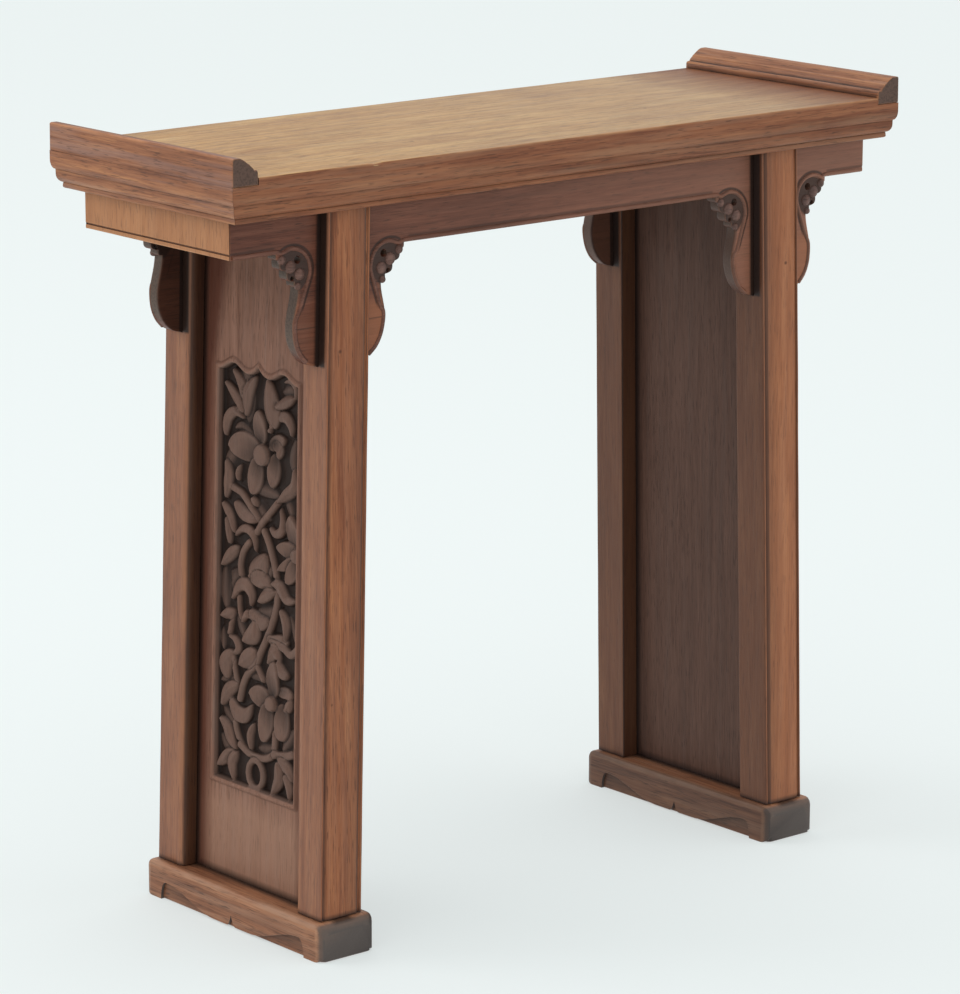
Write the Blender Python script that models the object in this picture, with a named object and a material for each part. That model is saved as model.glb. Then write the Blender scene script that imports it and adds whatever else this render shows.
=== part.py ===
"""Small hardwood table with everted flanges, recessed splayed legs, scrolled spandrels and end panels.

Metres, +Z up. X runs along the table, -Y is the front, and the origin is on the floor under the middle.
"""

import math

import bmesh
import bpy

MM = 0.001

# Fits
JOINT_GAP = 0.25 * MM
OVERCUT = 2 * MM

# Table top
TOP_LENGTH = 289 * MM
TOP_DEPTH = 98 * MM
TOP_SURFACE = 260.6 * MM
TOP_THICKNESS = 14.7 * MM
CLEAT_WIDTH = 8.6 * MM
TONGUE_LENGTH = 4 * MM
TONGUE_THICKNESS = 4.6 * MM
TONGUE_SHOULDER = 5 * MM

# Moulding round the edge of the top, from the surface down
ARRIS = 0.5 * MM
BAND_HEIGHT = 5.4 * MM
COVE_HEIGHT = 3.2 * MM
COVE_INSET = 1.3 * MM
FILLET_HEIGHT = 1.5 * MM
LIP_HEIGHT = 0.9 * MM
LIP_INSET = 3.1 * MM

# Everted flanges
FLANGE_WIDTH = 10 * MM
FLANGE_RISE = 6.7 * MM
FLANGE_SEAT = 2.4 * MM
FLANGE_FLAT = 2.8 * MM
FLANGE_TOE = 1.3 * MM

# Aprons, deeper between the posts than outside them
APRON_HEIGHT = 14.4 * MM
END_APRON_HEIGHT = 12.6 * MM
APRON_THICKNESS = 4.6 * MM
APRON_SETBACK = 10.5 * MM
END_APRON_SETBACK = 6.3 * MM
QUIRK_HEIGHT = 1.7 * MM
QUIRK_DEPTH = 0.5 * MM

# Spandrels, measured out from a post's face and down from the apron's lower edge
SPANDREL_REACH = 17.4 * MM
SPANDREL_DROP = 35.9 * MM
HEAD_DROP = 11.5 * MM
NECK_WIDTH = 8.2 * MM
TAIL_WIDTH = 10.1 * MM
TAIL_TIP_HEIGHT = 13 * MM
LOBES = 4
LOBE_BULGE = 1.1 * MM
LOBE_STEPS = 5
TAIL_STEPS = 6
EYE_RADIUS = 1.5 * MM
EYE_REACH = 9.6 * MM
EYE_DROP = 4.4 * MM
EYE_SIDES = 8

# Posts
POST_WIDTH = 17 * MM
POST_PROUD = 4.3 * MM
POST_BACK_CHEEK = 4.9 * MM
LEG_INSET = 42.3 * MM
SPLAY_LENGTHWISE = 6.2 * MM
SPLAY_ACROSS = 1.8 * MM
POST_ARRIS = 0.7 * MM
BEAD_WIDTH = 1 * MM
BEAD_QUIRK_WIDTH = 1.2 * MM
BEAD_QUIRK_DEPTH = 0.6 * MM
TOP_TENON_LENGTH = 6 * MM
TOP_TENON_WIDTH = 9 * MM
FOOT_TENON_LENGTH = 4.2 * MM
FOOT_TENON_WIDTH = 8 * MM
FOOT_TENON_DEPTH = 7 * MM

# End panels
PANEL_RECESS = 6 * MM
PANEL_THICKNESS = 4 * MM
PANEL_TONGUE = 2.2 * MM
PANEL_STUB = 2 * MM
CARTOUCHE_SIDE_MARGIN = 8.3 * MM
CARTOUCHE_TOP_MARGIN = 61 * MM
CARTOUCHE_BOTTOM_MARGIN = 33.4 * MM
CARTOUCHE_DEPTH = 1.9 * MM
CARTOUCHE_LOBE_RISE = 2.7 * MM
CARTOUCHE_SHOULDER_RISE = 0.2 * MM
CARTOUCHE_CUSP_WIDTH = 5.5 * MM
CARTOUCHE_CUSP_RISE = 2.4 * MM
CARTOUCHE_STEPS = 10
CUSP_STEPS = 3
BORDER_WIDTH = 1.9 * MM
BORDER_RISE = 0.5 * MM

# Sledge feet
FOOT_HEIGHT = 12.7 * MM
FOOT_OVERHANG = 3.2 * MM
FOOT_MARGIN = 3 * MM
FOOT_CHAMFER = 1.4 * MM
FOOT_END_ROUND = 2.4 * MM
PAD_LENGTH = 8.6 * MM
NOTCH_HEIGHT = 6.3 * MM
NOTCH_WIDTH = 2.6 * MM
LOBE_LENGTH = 9.5 * MM
LOBE_CLEARANCE = 0.5 * MM
CUSP_HEIGHT = 4.2 * MM
CUSP_WIDTH = 2.2 * MM
BRACKET_DEPTH = 1 * MM
SOLE_CLEARANCE = 0.3 * MM
OGEE_STEPS = 4
ROUND_STEPS = 3

# Levels and faces that several pieces share
UNDERSIDE = TOP_SURFACE - TOP_THICKNESS
HALF_LENGTH = TOP_LENGTH / 2
HALF_DEPTH = TOP_DEPTH / 2
SHOULDER_X = HALF_LENGTH - CLEAT_WIDTH
SHOULDER_Y = HALF_DEPTH - CLEAT_WIDTH
APRON_TOP = UNDERSIDE - JOINT_GAP
APRON_BOTTOM = UNDERSIDE - APRON_HEIGHT
END_APRON_BOTTOM = UNDERSIDE - END_APRON_HEIGHT
APRON_FACE = HALF_DEPTH - APRON_SETBACK
APRON_BACK = APRON_FACE - APRON_THICKNESS
APRON_END = HALF_LENGTH - END_APRON_SETBACK
SPANDREL_BOTTOM = APRON_BOTTOM - SPANDREL_DROP
POST_FRONT = APRON_FACE + POST_PROUD
POST_BACK = APRON_BACK - POST_BACK_CHEEK
POST_DEPTH = POST_FRONT - POST_BACK
PANEL_EDGE = POST_BACK + PANEL_TONGUE
POST_OUTER = HALF_LENGTH - LEG_INSET
POST_TOP = UNDERSIDE - JOINT_GAP
POST_FOOT = FOOT_HEIGHT + JOINT_GAP
CARTOUCHE_HALF = POST_BACK - CARTOUCHE_SIDE_MARGIN
CARTOUCHE_TOP = UNDERSIDE - CARTOUCHE_TOP_MARGIN
CARTOUCHE_BOTTOM = FOOT_HEIGHT + CARTOUCHE_BOTTOM_MARGIN
PANEL_FACE = POST_OUTER - PANEL_RECESS
MITRE_GAP = JOINT_GAP * math.sqrt(2)

ENDS = {"left": -1, "right": 1}
SIDES = {"front": -1, "back": 1}


# Helpers

def remove_everything():
    for obj in list(bpy.data.objects):
        bpy.data.objects.remove(obj, do_unlink=True)


def wood(name, colour, roughness):
    material = bpy.data.materials.new(name)
    material.use_nodes = True
    shader = material.node_tree.nodes["Principled BSDF"]
    shader.inputs["Base Color"].default_value = (*colour, 1.0)
    shader.inputs["Roughness"].default_value = roughness
    shader.inputs["Metallic"].default_value = 0.0
    return material


def loft(rings, move=None):
    """Closed solid through rings of points, with the first and last ring capped."""
    bm = bmesh.new()
    loops = [[bm.verts.new(move(p) if move else p) for p in ring] for ring in rings]
    count = len(loops[0])
    for low, high in zip(loops, loops[1:]):
        for i in range(count):
            j = (i + 1) % count
            bm.faces.new((low[i], low[j], high[j], high[i]))
    bm.faces.new(loops[0])
    bm.faces.new(loops[-1])
    bmesh.ops.recalc_face_normals(bm, faces=bm.faces)
    return bm


def prism_x(outline, start, end, move=None):
    """Outline of (y, z) points carried along X."""
    return loft([[(x, y, z) for y, z in outline] for x in (start, end)], move)


def prism_y(outline, start, end, move=None):
    """Outline of (x, z) points carried along Y."""
    return loft([[(x, y, z) for x, z in outline] for y in (start, end)], move)


def prism_z(outline, start, end, move=None):
    """Outline of (x, y) points carried up Z."""
    return loft([[(x, y, z) for x, y in outline] for z in (start, end)], move)


def block(low, high):
    """Box between two corners given in any order."""
    (x0, x1), (y0, y1), (z0, z1) = (sorted(pair) for pair in zip(low, high))
    return prism_z([(x0, y0), (x1, y0), (x1, y1), (x0, y1)], z0, z1)


def piece(name, bm, material):
    mesh = bpy.data.meshes.new(name)
    bm.to_mesh(mesh)
    bm.free()
    mesh.materials.append(material)
    obj = bpy.data.objects.new(name, mesh)
    bpy.context.collection.objects.link(obj)
    return obj


def work(obj, operation, bm, label):
    """Add or cut away the solid bm, which stays as a hidden wire guide."""
    tool = piece(f"{obj.name}_{label}", bm, obj.data.materials[0])
    tool.hide_render = True
    tool.display_type = "WIRE"
    modifier = obj.modifiers.new(label, "BOOLEAN")
    modifier.operation = operation
    modifier.solver = "EXACT"
    modifier.object = tool


def arc(centre, radius, start, end, steps):
    """Points on an arc, with angles in degrees."""
    points = []
    for i in range(steps + 1):
        angle = math.radians(start + (end - start) * i / steps)
        points.append((centre[0] + radius * math.cos(angle), centre[1] + radius * math.sin(angle)))
    return points


def splay(z, amount):
    """How far a leg has moved outward at height z, from nothing at the top's underside."""
    return amount * (UNDERSIDE - z) / (UNDERSIDE - FOOT_HEIGHT)


# Table top

def moulding():
    """Inset from the outer edge and depth below the surface, down the moulded edge."""
    cove = [(COVE_INSET - x, BAND_HEIGHT + y) for x, y in
            ((COVE_INSET * math.cos(a), COVE_HEIGHT * math.sin(a))
             for a in (math.radians(d) for d in (0, 30, 60, 90)))]
    ovolo_top = BAND_HEIGHT + COVE_HEIGHT + FILLET_HEIGHT
    ovolo_height = TOP_THICKNESS - LIP_HEIGHT - ovolo_top
    ovolo_width = LIP_INSET - COVE_INSET
    ovolo = [(COVE_INSET + ovolo_width * (1 - math.cos(a)), ovolo_top + ovolo_height * math.sin(a))
             for a in (math.radians(d) for d in (0, 30, 60, 90))]
    return [(ARRIS, 0), (0, ARRIS)] + cove + ovolo + [(LIP_INSET, TOP_THICKNESS)]


def plank_ring(inset, depth):
    x, y, z = HALF_LENGTH - inset, HALF_DEPTH - inset, TOP_SURFACE - depth
    sx, sy = SHOULDER_X, SHOULDER_Y
    outline = [(-x, -y), (x, -y), (sx, -sy), (sx, sy), (x, y), (-x, y), (-sx, sy), (-sx, -sy)]
    return [(px, py, z) for px, py in outline]


def cleat_ring(end, inset, depth):
    x, z = HALF_LENGTH - inset, TOP_SURFACE - depth
    outer = HALF_DEPTH - inset - MITRE_GAP
    inner = SHOULDER_Y + JOINT_GAP - MITRE_GAP
    outline = [(x, -outer), (x, outer), (SHOULDER_X + JOINT_GAP, inner), (SHOULDER_X + JOINT_GAP, -inner)]
    return [(end * px, py, z) for px, py in outline]


def tongue(end, gap):
    """Tongue on the plank's end, or its groove when a gap is given."""
    middle = TOP_SURFACE - TOP_THICKNESS / 2
    half_width = SHOULDER_Y - TONGUE_SHOULDER + gap
    half_thickness = TONGUE_THICKNESS / 2 + gap
    return block((end * (SHOULDER_X - OVERCUT), -half_width, middle - half_thickness),
                 (end * (SHOULDER_X + TONGUE_LENGTH + gap), half_width, middle + half_thickness))


def flange_housing(end):
    inner = HALF_LENGTH - FLANGE_WIDTH - JOINT_GAP
    return block((end * inner, -HALF_DEPTH - OVERCUT, TOP_SURFACE - FLANGE_SEAT - JOINT_GAP),
                 (end * (HALF_LENGTH + OVERCUT), HALF_DEPTH + OVERCUT, TOP_SURFACE + OVERCUT))


def make_plank(material):
    plank = piece("top_plank", loft([plank_ring(i, d) for i, d in moulding()]), material)
    for name, end in ENDS.items():
        work(plank, "UNION", tongue(end, 0), f"tongue_{name}")
        work(plank, "DIFFERENCE", flange_housing(end), f"housing_{name}")
        for side_name, side in SIDES.items():
            for cheek in ("outer", "inner"):
                mortise = top_tenon(end, side, cheek, JOINT_GAP)
                work(plank, "DIFFERENCE", mortise, f"mortise_{name}_{side_name}_{cheek}")


def make_cleat(name, end, material):
    cleat = piece(f"{name}_end_cleat", loft([cleat_ring(end, i, d) for i, d in moulding()]), material)
    work(cleat, "DIFFERENCE", tongue(end, JOINT_GAP), "groove")
    work(cleat, "DIFFERENCE", flange_housing(end), "housing")


def flange_outline(end):
    """Section of a flange: flat crest, two rounds with a quirk between, and an upright toe."""
    seat = TOP_SURFACE - FLANGE_SEAT
    crest = TOP_SURFACE + FLANGE_RISE
    quirk_across = (FLANGE_WIDTH + FLANGE_FLAT) / 2
    quirk_level = TOP_SURFACE + (FLANGE_RISE + FLANGE_TOE) / 2
    upper_drop = crest - quirk_level
    upper_run = quirk_across - FLANGE_FLAT
    lower_drop = quirk_level - TOP_SURFACE - FLANGE_TOE
    lower_run = FLANGE_WIDTH - quirk_across
    angles = [math.radians(d) for d in (30, 60, 90)]
    across = [(0, seat), (0, crest - ARRIS), (ARRIS, crest), (FLANGE_FLAT, crest)]
    across += [(FLANGE_FLAT + upper_run * math.sin(a),
                quirk_level + upper_drop * math.cos(a)) for a in angles]
    across += [(quirk_across + lower_run * math.sin(a),
                TOP_SURFACE + FLANGE_TOE + lower_drop * math.cos(a)) for a in angles]
    across += [(FLANGE_WIDTH, seat)]
    return [(end * (HALF_LENGTH - x), z) for x, z in across]


def make_flange(name, end, material):
    piece(f"{name}_flange", prism_y(flange_outline(end), -HALF_DEPTH, HALF_DEPTH), material)


# Posts

def post_section():
    """Post section as distances in from the outer face and in from the beaded show face."""
    w, d, a = POST_WIDTH, POST_DEPTH, POST_ARRIS
    bead = BEAD_WIDTH / 2
    groove_near = PANEL_RECESS - JOINT_GAP
    groove_far = PANEL_RECESS + PANEL_THICKNESS + JOINT_GAP
    groove_floor = d - PANEL_TONGUE - JOINT_GAP
    show = arc((bead, bead), bead, 180, 270, 3)
    show += [(BEAD_WIDTH, BEAD_QUIRK_DEPTH), (BEAD_WIDTH + BEAD_QUIRK_WIDTH, 0)]
    show += [(w - across, inward) for across, inward in reversed(show)]
    inner_side = [(w, d - a), (w - a, d)]
    panel_side = [(groove_far, d), (groove_far, groove_floor), (groove_near, groove_floor), (groove_near, d)]
    return show + inner_side + panel_side + [(a, d), (0, d - a)]


def post_point(end, side, across, inward, z):
    x = POST_OUTER - across + splay(z, SPLAY_LENGTHWISE)
    y = POST_FRONT - inward + splay(z, SPLAY_ACROSS)
    return (end * x, side * y, z)


def top_tenon(end, side, cheek, gap):
    """One of the twin tenons, each rising from a cheek of the slotted post."""
    near, far = (POST_FRONT, APRON_FACE) if cheek == "outer" else (APRON_BACK, PANEL_EDGE)
    y = (near + far) / 2
    half_thickness = (near - far) / 4 + gap
    half_width = TOP_TENON_WIDTH / 2 + gap
    x = POST_OUTER - POST_WIDTH / 2
    root = POST_TOP - OVERCUT
    return block((end * (x - half_width), side * (y - half_thickness), root),
                 (end * (x + half_width), side * (y + half_thickness), UNDERSIDE + TOP_TENON_LENGTH + gap))


def foot_tenon(end, side, gap):
    x = POST_OUTER - POST_WIDTH / 2 + SPLAY_LENGTHWISE
    y = POST_FRONT - (POST_DEPTH - PANEL_TONGUE) / 2 + SPLAY_ACROSS
    half_width = FOOT_TENON_WIDTH / 2 + gap
    half_depth = FOOT_TENON_DEPTH / 2 + gap
    low = FOOT_HEIGHT - FOOT_TENON_LENGTH - gap
    return block((end * (x - half_width), side * (y - half_depth), low),
                 (end * (x + half_width), side * (y + half_depth), POST_FOOT + OVERCUT))


def apron_slot(end, side):
    """Slot in a post's top, open above and on both sides, for the apron board."""
    reach = POST_WIDTH + SPLAY_LENGTHWISE
    return block((end * (POST_OUTER - reach), side * (APRON_BACK - JOINT_GAP), SPANDREL_BOTTOM - JOINT_GAP),
                 (end * (POST_OUTER + reach), side * (APRON_FACE + JOINT_GAP),
                  UNDERSIDE + TOP_TENON_LENGTH + OVERCUT))


def make_post(end_name, end, side_name, side, material):
    rings = [[post_point(end, side, p, q, z) for p, q in post_section()] for z in (POST_FOOT, POST_TOP)]
    post = piece(f"{side_name}_{end_name}_post", loft(rings), material)
    for cheek in ("outer", "inner"):
        work(post, "UNION", top_tenon(end, side, cheek, 0), f"{cheek}_tenon")
    work(post, "UNION", foot_tenon(end, side, 0), "foot_tenon")
    work(post, "DIFFERENCE", apron_slot(end, side), "apron_slot")


# Aprons and spandrels

def spandrel_edge(drop):
    """Spandrel outline as (reach, drop), from the apron's edge round the lobes and down the tail."""
    run = SPANDREL_REACH - NECK_WIDTH
    slant = math.hypot(run, HEAD_DROP)
    points = []
    for i in range(LOBES * LOBE_STEPS):
        t = i / (LOBES * LOBE_STEPS)
        bulge = LOBE_BULGE * abs(math.sin(math.pi * LOBES * t))
        points.append((SPANDREL_REACH - run * t + bulge * HEAD_DROP / slant,
                       HEAD_DROP * t + bulge * run / slant))
    belly = drop - TAIL_TIP_HEIGHT
    for i in range(TAIL_STEPS):
        t = i / TAIL_STEPS
        swell = (1 - math.cos(math.pi * t)) / 2
        points.append((NECK_WIDTH + (TAIL_WIDTH - NECK_WIDTH) * swell, HEAD_DROP + (belly - HEAD_DROP) * t))
    for i in range(TAIL_STEPS + 1):
        a = math.pi / 2 * i / TAIL_STEPS
        points.append((TAIL_WIDTH * math.cos(a), belly + TAIL_TIP_HEIGHT * math.sin(a)))
    return points


def post_face(z, inner):
    return POST_OUTER + splay(z, SPLAY_LENGTHWISE) - (POST_WIDTH if inner else 0)


def spandrel_outline(inner):
    """Spandrel on the inner or outer side of a right-hand post, as (x, z) from the apron's edge down."""
    level = APRON_BOTTOM if inner else END_APRON_BOTTOM
    away = -1 if inner else 1
    edge = spandrel_edge(level - SPANDREL_BOTTOM)
    return [(post_face(level - v, inner) + away * u, level - v) for u, v in edge]


def make_apron(side_name, side, material):
    lower = [(APRON_END, END_APRON_BOTTOM)] + spandrel_outline(False) + spandrel_outline(True)[::-1]
    mirrored = [(-x, z) for x, z in reversed(lower)]
    outline = [(-APRON_END, APRON_TOP), (APRON_END, APRON_TOP)] + lower + mirrored

    def mitre(point):
        """Cut the board's ends back at 45 degrees towards its inner face."""
        x, y, z = point
        if abs(x) < APRON_END:
            return point
        return (math.copysign(abs(x) - (APRON_FACE - abs(y)), x), y, z)

    board = prism_y(outline, side * APRON_FACE, side * APRON_BACK, mitre)
    apron = piece(f"{side_name}_apron", board, material)
    for end_name, end in ENDS.items():
        for inner in (False, True):
            z = (APRON_BOTTOM if inner else END_APRON_BOTTOM) - EYE_DROP
            x = end * (post_face(z, inner) + (-EYE_REACH if inner else EYE_REACH))
            hole = arc((x, z), EYE_RADIUS, 0, 360, EYE_SIDES)[:-1]
            eye = prism_y(hole, side * (APRON_BACK - OVERCUT), side * (APRON_FACE + OVERCUT))
            work(apron, "DIFFERENCE", eye, f"eye_{end_name}_{'inner' if inner else 'outer'}")


def make_end_apron(end_name, end, material):
    """End board with a scratched quirk above its lower edge, mitred to the long boards."""
    quirk = END_APRON_BOTTOM + QUIRK_HEIGHT
    section = [(0, APRON_TOP), (0, quirk + QUIRK_DEPTH), (QUIRK_DEPTH, quirk), (0, quirk - QUIRK_DEPTH),
               (0, END_APRON_BOTTOM), (APRON_THICKNESS, END_APRON_BOTTOM), (APRON_THICKNESS, APRON_TOP)]
    rings = []
    for side in SIDES.values():
        rings.append([(end * (APRON_END - depth), side * (APRON_FACE - depth - MITRE_GAP), z)
                      for depth, z in section])
    piece(f"{end_name}_end_apron", loft(rings), material)


# End panels

def lean(end):
    """Carry a point of an upright panel with the splay of the posts beside it."""
    def move(point):
        x, y, z = point
        widening = splay(z, SPLAY_ACROSS) / PANEL_EDGE
        return (x + end * splay(z, SPLAY_LENGTHWISE), y * (1 + widening), z)
    return move


def cartouche(grow):
    """Cartouche outline as (y, z), square at the foot and bracket shaped at the head, grown outward."""
    half = CARTOUCHE_HALF + grow
    shoulder = half - CARTOUCHE_CUSP_WIDTH
    head = []
    for i in range(CARTOUCHE_STEPS + 1):
        t = i / CARTOUCHE_STEPS
        rise = CARTOUCHE_LOBE_RISE * math.sin(math.pi * t) ** 2 + CARTOUCHE_SHOULDER_RISE * t
        head.append((half - shoulder * t, CARTOUCHE_TOP + grow + rise))
    base = head[-1][1]
    for i in range(CUSP_STEPS):
        t = (i + 1) / CUSP_STEPS
        head.append((CARTOUCHE_CUSP_WIDTH * (1 - t), base + CARTOUCHE_CUSP_RISE * t ** 2))
    left = [(-y, z) for y, z in reversed(head[:-1])]
    low = CARTOUCHE_BOTTOM - grow
    return [(-half, low), (half, low)] + head + left


def panel_stub(end, gap):
    """Lower edge of the panel, which stands in a groove of the foot, or the groove itself."""
    half = POST_BACK + SPLAY_ACROSS - (0 if gap else JOINT_GAP)
    outer = PANEL_FACE + SPLAY_LENGTHWISE + gap
    return block((end * outer, -half, FOOT_HEIGHT - PANEL_STUB - gap),
                 (end * (outer - PANEL_THICKNESS - 2 * gap), half, FOOT_HEIGHT + OVERCUT))


def make_panel(end_name, end, material):
    half = PANEL_EDGE
    face, back = end * PANEL_FACE, end * (PANEL_FACE - PANEL_THICKNESS)
    board = [(-half, POST_FOOT), (half, POST_FOOT), (half, POST_TOP), (-half, POST_TOP)]
    panel = piece(f"{end_name}_end_panel", prism_x(board, back, face, lean(end)), material)
    raised = prism_x(cartouche(BORDER_WIDTH), face - end * OVERCUT, face + end * BORDER_RISE, lean(end))
    work(panel, "UNION", raised, "border")
    sunk = prism_x(cartouche(0), face - end * CARTOUCHE_DEPTH, face + end * OVERCUT, lean(end))
    work(panel, "DIFFERENCE", sunk, "cartouche")
    work(panel, "UNION", panel_stub(end, 0), "stub")


# Feet

def foot_underside(half):
    """Right half of the bracket line on the foot's sides, from the pad to the middle, as (y, z)."""
    pad = half - PAD_LENGTH
    notch = pad - NOTCH_WIDTH
    run = notch - LOBE_LENGTH
    points = []
    for i in range(OGEE_STEPS):
        a = math.pi / 2 * i / OGEE_STEPS
        points.append((pad - NOTCH_WIDTH * (1 - math.cos(a)), NOTCH_HEIGHT * math.sin(a)))
    for i in range(OGEE_STEPS + 1):
        t = i / OGEE_STEPS
        fall = (1 + math.cos(math.pi * t)) / 2
        points.append((notch - run * t, LOBE_CLEARANCE + (NOTCH_HEIGHT - LOBE_CLEARANCE) * fall))
    for i in range(CUSP_STEPS + 1):
        t = i / CUSP_STEPS
        points.append((CUSP_WIDTH * (1 - t), LOBE_CLEARANCE + (CUSP_HEIGHT - LOBE_CLEARANCE) * t ** 2))
    return points


def foot_core(x, half, half_width):
    """Middle of the foot, which stays solid behind the bracket line and just clears the floor."""
    reach = half - PAD_LENGTH + OVERCUT
    inner = half_width - BRACKET_DEPTH
    return block((x - inner, -reach, SOLE_CLEARANCE), (x + inner, reach, NOTCH_HEIGHT + OVERCUT))


def make_foot(end_name, end, material):
    half = POST_FRONT + SPLAY_ACROSS + FOOT_OVERHANG
    x = end * (POST_OUTER + SPLAY_LENGTHWISE - POST_WIDTH / 2)
    half_width = POST_WIDTH / 2 + FOOT_MARGIN
    c, r = FOOT_CHAMFER, FOOT_END_ROUND
    right = arc((half - r, FOOT_HEIGHT - r), r, 90, 0, ROUND_STEPS)
    right += arc((half - r, r), r, 0, -90, ROUND_STEPS) + foot_underside(half)
    left = [(-y, z) for y, z in reversed(right[:-1])]
    outline = right + left

    def ease(point):
        """Chamfer the long upper edges by drawing in the outer rings at the top."""
        px, y, z = point
        outermost = abs(px - x) > half_width - c / 2
        return (px, y, min(z, FOOT_HEIGHT - c)) if outermost else point

    offsets = (-half_width, c - half_width, half_width - c, half_width)
    rings = [[(x + dx, y, z) for y, z in outline] for dx in offsets]
    foot = piece(f"{end_name}_foot", loft(rings, ease), material)
    work(foot, "UNION", foot_core(x, half, half_width), "core")
    for side_name, side in SIDES.items():
        work(foot, "DIFFERENCE", foot_tenon(end, side, JOINT_GAP), f"mortise_{side_name}")
    work(foot, "DIFFERENCE", panel_stub(end, JOINT_GAP), "panel_groove")


# The table

def make_table():
    remove_everything()
    top_wood = wood("top_wood", (0.36, 0.20, 0.09), 0.42)
    end_wood = wood("end_wood", (0.26, 0.12, 0.06), 0.45)
    post_wood = wood("post_wood", (0.27, 0.11, 0.05), 0.45)
    apron_wood = wood("apron_wood", (0.20, 0.085, 0.045), 0.5)
    panel_wood = wood("panel_wood", (0.19, 0.08, 0.045), 0.5)
    foot_wood = wood("foot_wood", (0.22, 0.10, 0.05), 0.55)
    make_plank(top_wood)
    for end_name, end in ENDS.items():
        make_cleat(end_name, end, end_wood)
        make_flange(end_name, end, end_wood)
        make_end_apron(end_name, end, apron_wood)
        make_panel(end_name, end, panel_wood)
        make_foot(end_name, end, foot_wood)
        for side_name, side in SIDES.items():
            make_post(end_name, end, side_name, side, post_wood)
    for side_name, side in SIDES.items():
        make_apron(side_name, side, apron_wood)


make_table()
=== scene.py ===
# %% [markdown]
# # A small hardwood table with everted flanges
# Two sledge feet carry four splayed posts. A long plank lies on them, with moulded flanges at its ends.
# Carved panels close the two ends, and thin aprons with scrolled spandrels run between the posts.
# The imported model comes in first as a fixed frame, so that every board made here lands on the real joints.

# %% Load the frame
import math
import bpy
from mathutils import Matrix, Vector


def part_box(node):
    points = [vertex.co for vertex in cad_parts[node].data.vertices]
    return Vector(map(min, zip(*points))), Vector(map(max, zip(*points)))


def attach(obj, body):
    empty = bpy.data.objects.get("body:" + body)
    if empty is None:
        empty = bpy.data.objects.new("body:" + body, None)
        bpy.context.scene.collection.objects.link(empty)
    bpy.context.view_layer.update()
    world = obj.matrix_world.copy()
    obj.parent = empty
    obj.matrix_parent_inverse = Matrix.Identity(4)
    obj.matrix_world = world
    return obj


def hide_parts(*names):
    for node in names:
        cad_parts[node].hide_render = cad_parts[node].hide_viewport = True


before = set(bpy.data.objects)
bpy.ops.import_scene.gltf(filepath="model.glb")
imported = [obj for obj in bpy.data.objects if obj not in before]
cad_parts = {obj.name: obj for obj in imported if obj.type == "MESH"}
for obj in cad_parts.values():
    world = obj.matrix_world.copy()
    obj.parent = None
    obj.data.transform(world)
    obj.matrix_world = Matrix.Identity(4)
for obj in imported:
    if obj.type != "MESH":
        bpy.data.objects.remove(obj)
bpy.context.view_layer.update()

from types import SimpleNamespace

import bmesh
import bpy
import numpy as np
from mathutils import Matrix, Vector, noise

print("nodes in the frame:", len(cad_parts))

# %% [markdown]
# ## The camera
# The picture was taken from the front left with a long lens, a little above the table top.
# The camera could be aimed with a constraint, but its roll would then be lost. So its three axes are worked
# out from the turn, the tilt and the roll, and go straight into its matrix.

# %% Place the camera
MM = 0.001
IMAGE_HEIGHT = 994
FOCAL_PIXELS = 4447.19
SENSOR = 36
CAMERA_TURN = math.radians(-40.2136)
CAMERA_TILT = math.radians(13.4008)
CAMERA_ROLL = math.radians(0.1906)
CAMERA_DISTANCE = 1517.7 * MM
AIM_HEIGHT = 130.3 * MM
AIM_SHIFT = -2.75 * MM

level = math.cos(CAMERA_TILT)
backward = Vector((math.sin(CAMERA_TURN) * level, -math.cos(CAMERA_TURN) * level, math.sin(CAMERA_TILT)))
right = (-backward).cross(Vector((0, 0, 1))).normalized()
upward = backward.cross(right)
rolled_right = right * math.cos(CAMERA_ROLL) + upward * math.sin(CAMERA_ROLL)
rolled_up = upward * math.cos(CAMERA_ROLL) - right * math.sin(CAMERA_ROLL)
eye = right * AIM_SHIFT + Vector((0, 0, AIM_HEIGHT)) + backward * CAMERA_DISTANCE

lens = bpy.data.cameras.new("camera")
lens.sensor_width = SENSOR
lens.lens = FOCAL_PIXELS / IMAGE_HEIGHT * SENSOR
camera = bpy.data.objects.new("camera", lens)
camera.matrix_world = Matrix((rolled_right, rolled_up, backward)).transposed().to_4x4()
camera.matrix_world.translation = eye
bpy.context.collection.objects.link(camera)
bpy.context.scene.camera = camera
bpy.context.scene.view_settings.view_transform = "Standard"
print("camera at", [round(c, 4) for c in eye], "lens", round(lens.lens, 2))

# %% [markdown]
# ## Floor and light
# The table stands on seamless pale paper in a bright, even room, so its shadow is only a faint grey pool.
# Lamps alone would leave a bright patch on the paper. Most of the light comes from a pale sky that is
# brighter overhead than at the horizon, and two large weak panels shape the boards from above and the left.

# %% Floor and lights
FLOOR_REACH = 9.0
PAPER = (0.865, 0.915, 0.912)
PAPER_GLOW = 0.5
SKY_TINT = (0.965, 0.995, 0.99)
HORIZON = 0.56
ZENITH = 1.10
LIGHTS = {
    "overhead": {"at": (-0.25, -0.35, 1.7), "aim": (0, 0, 0.1), "size": 2.2, "watts": 3.0},
    "left": {"at": (-1.1, 1.0, 1.1), "aim": (0, 0, 0.14), "size": 0.8, "watts": 4.8},
}


def linear(*rgb):
    """Colour as seen on a screen, 0 to 255, turned into the light values that shaders use."""
    shares = [c / 255 for c in rgb]
    return tuple(c / 12.92 if c <= 0.04045 else ((c + 0.055) / 1.055) ** 2.4 for c in shares) + (1.0,)


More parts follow.
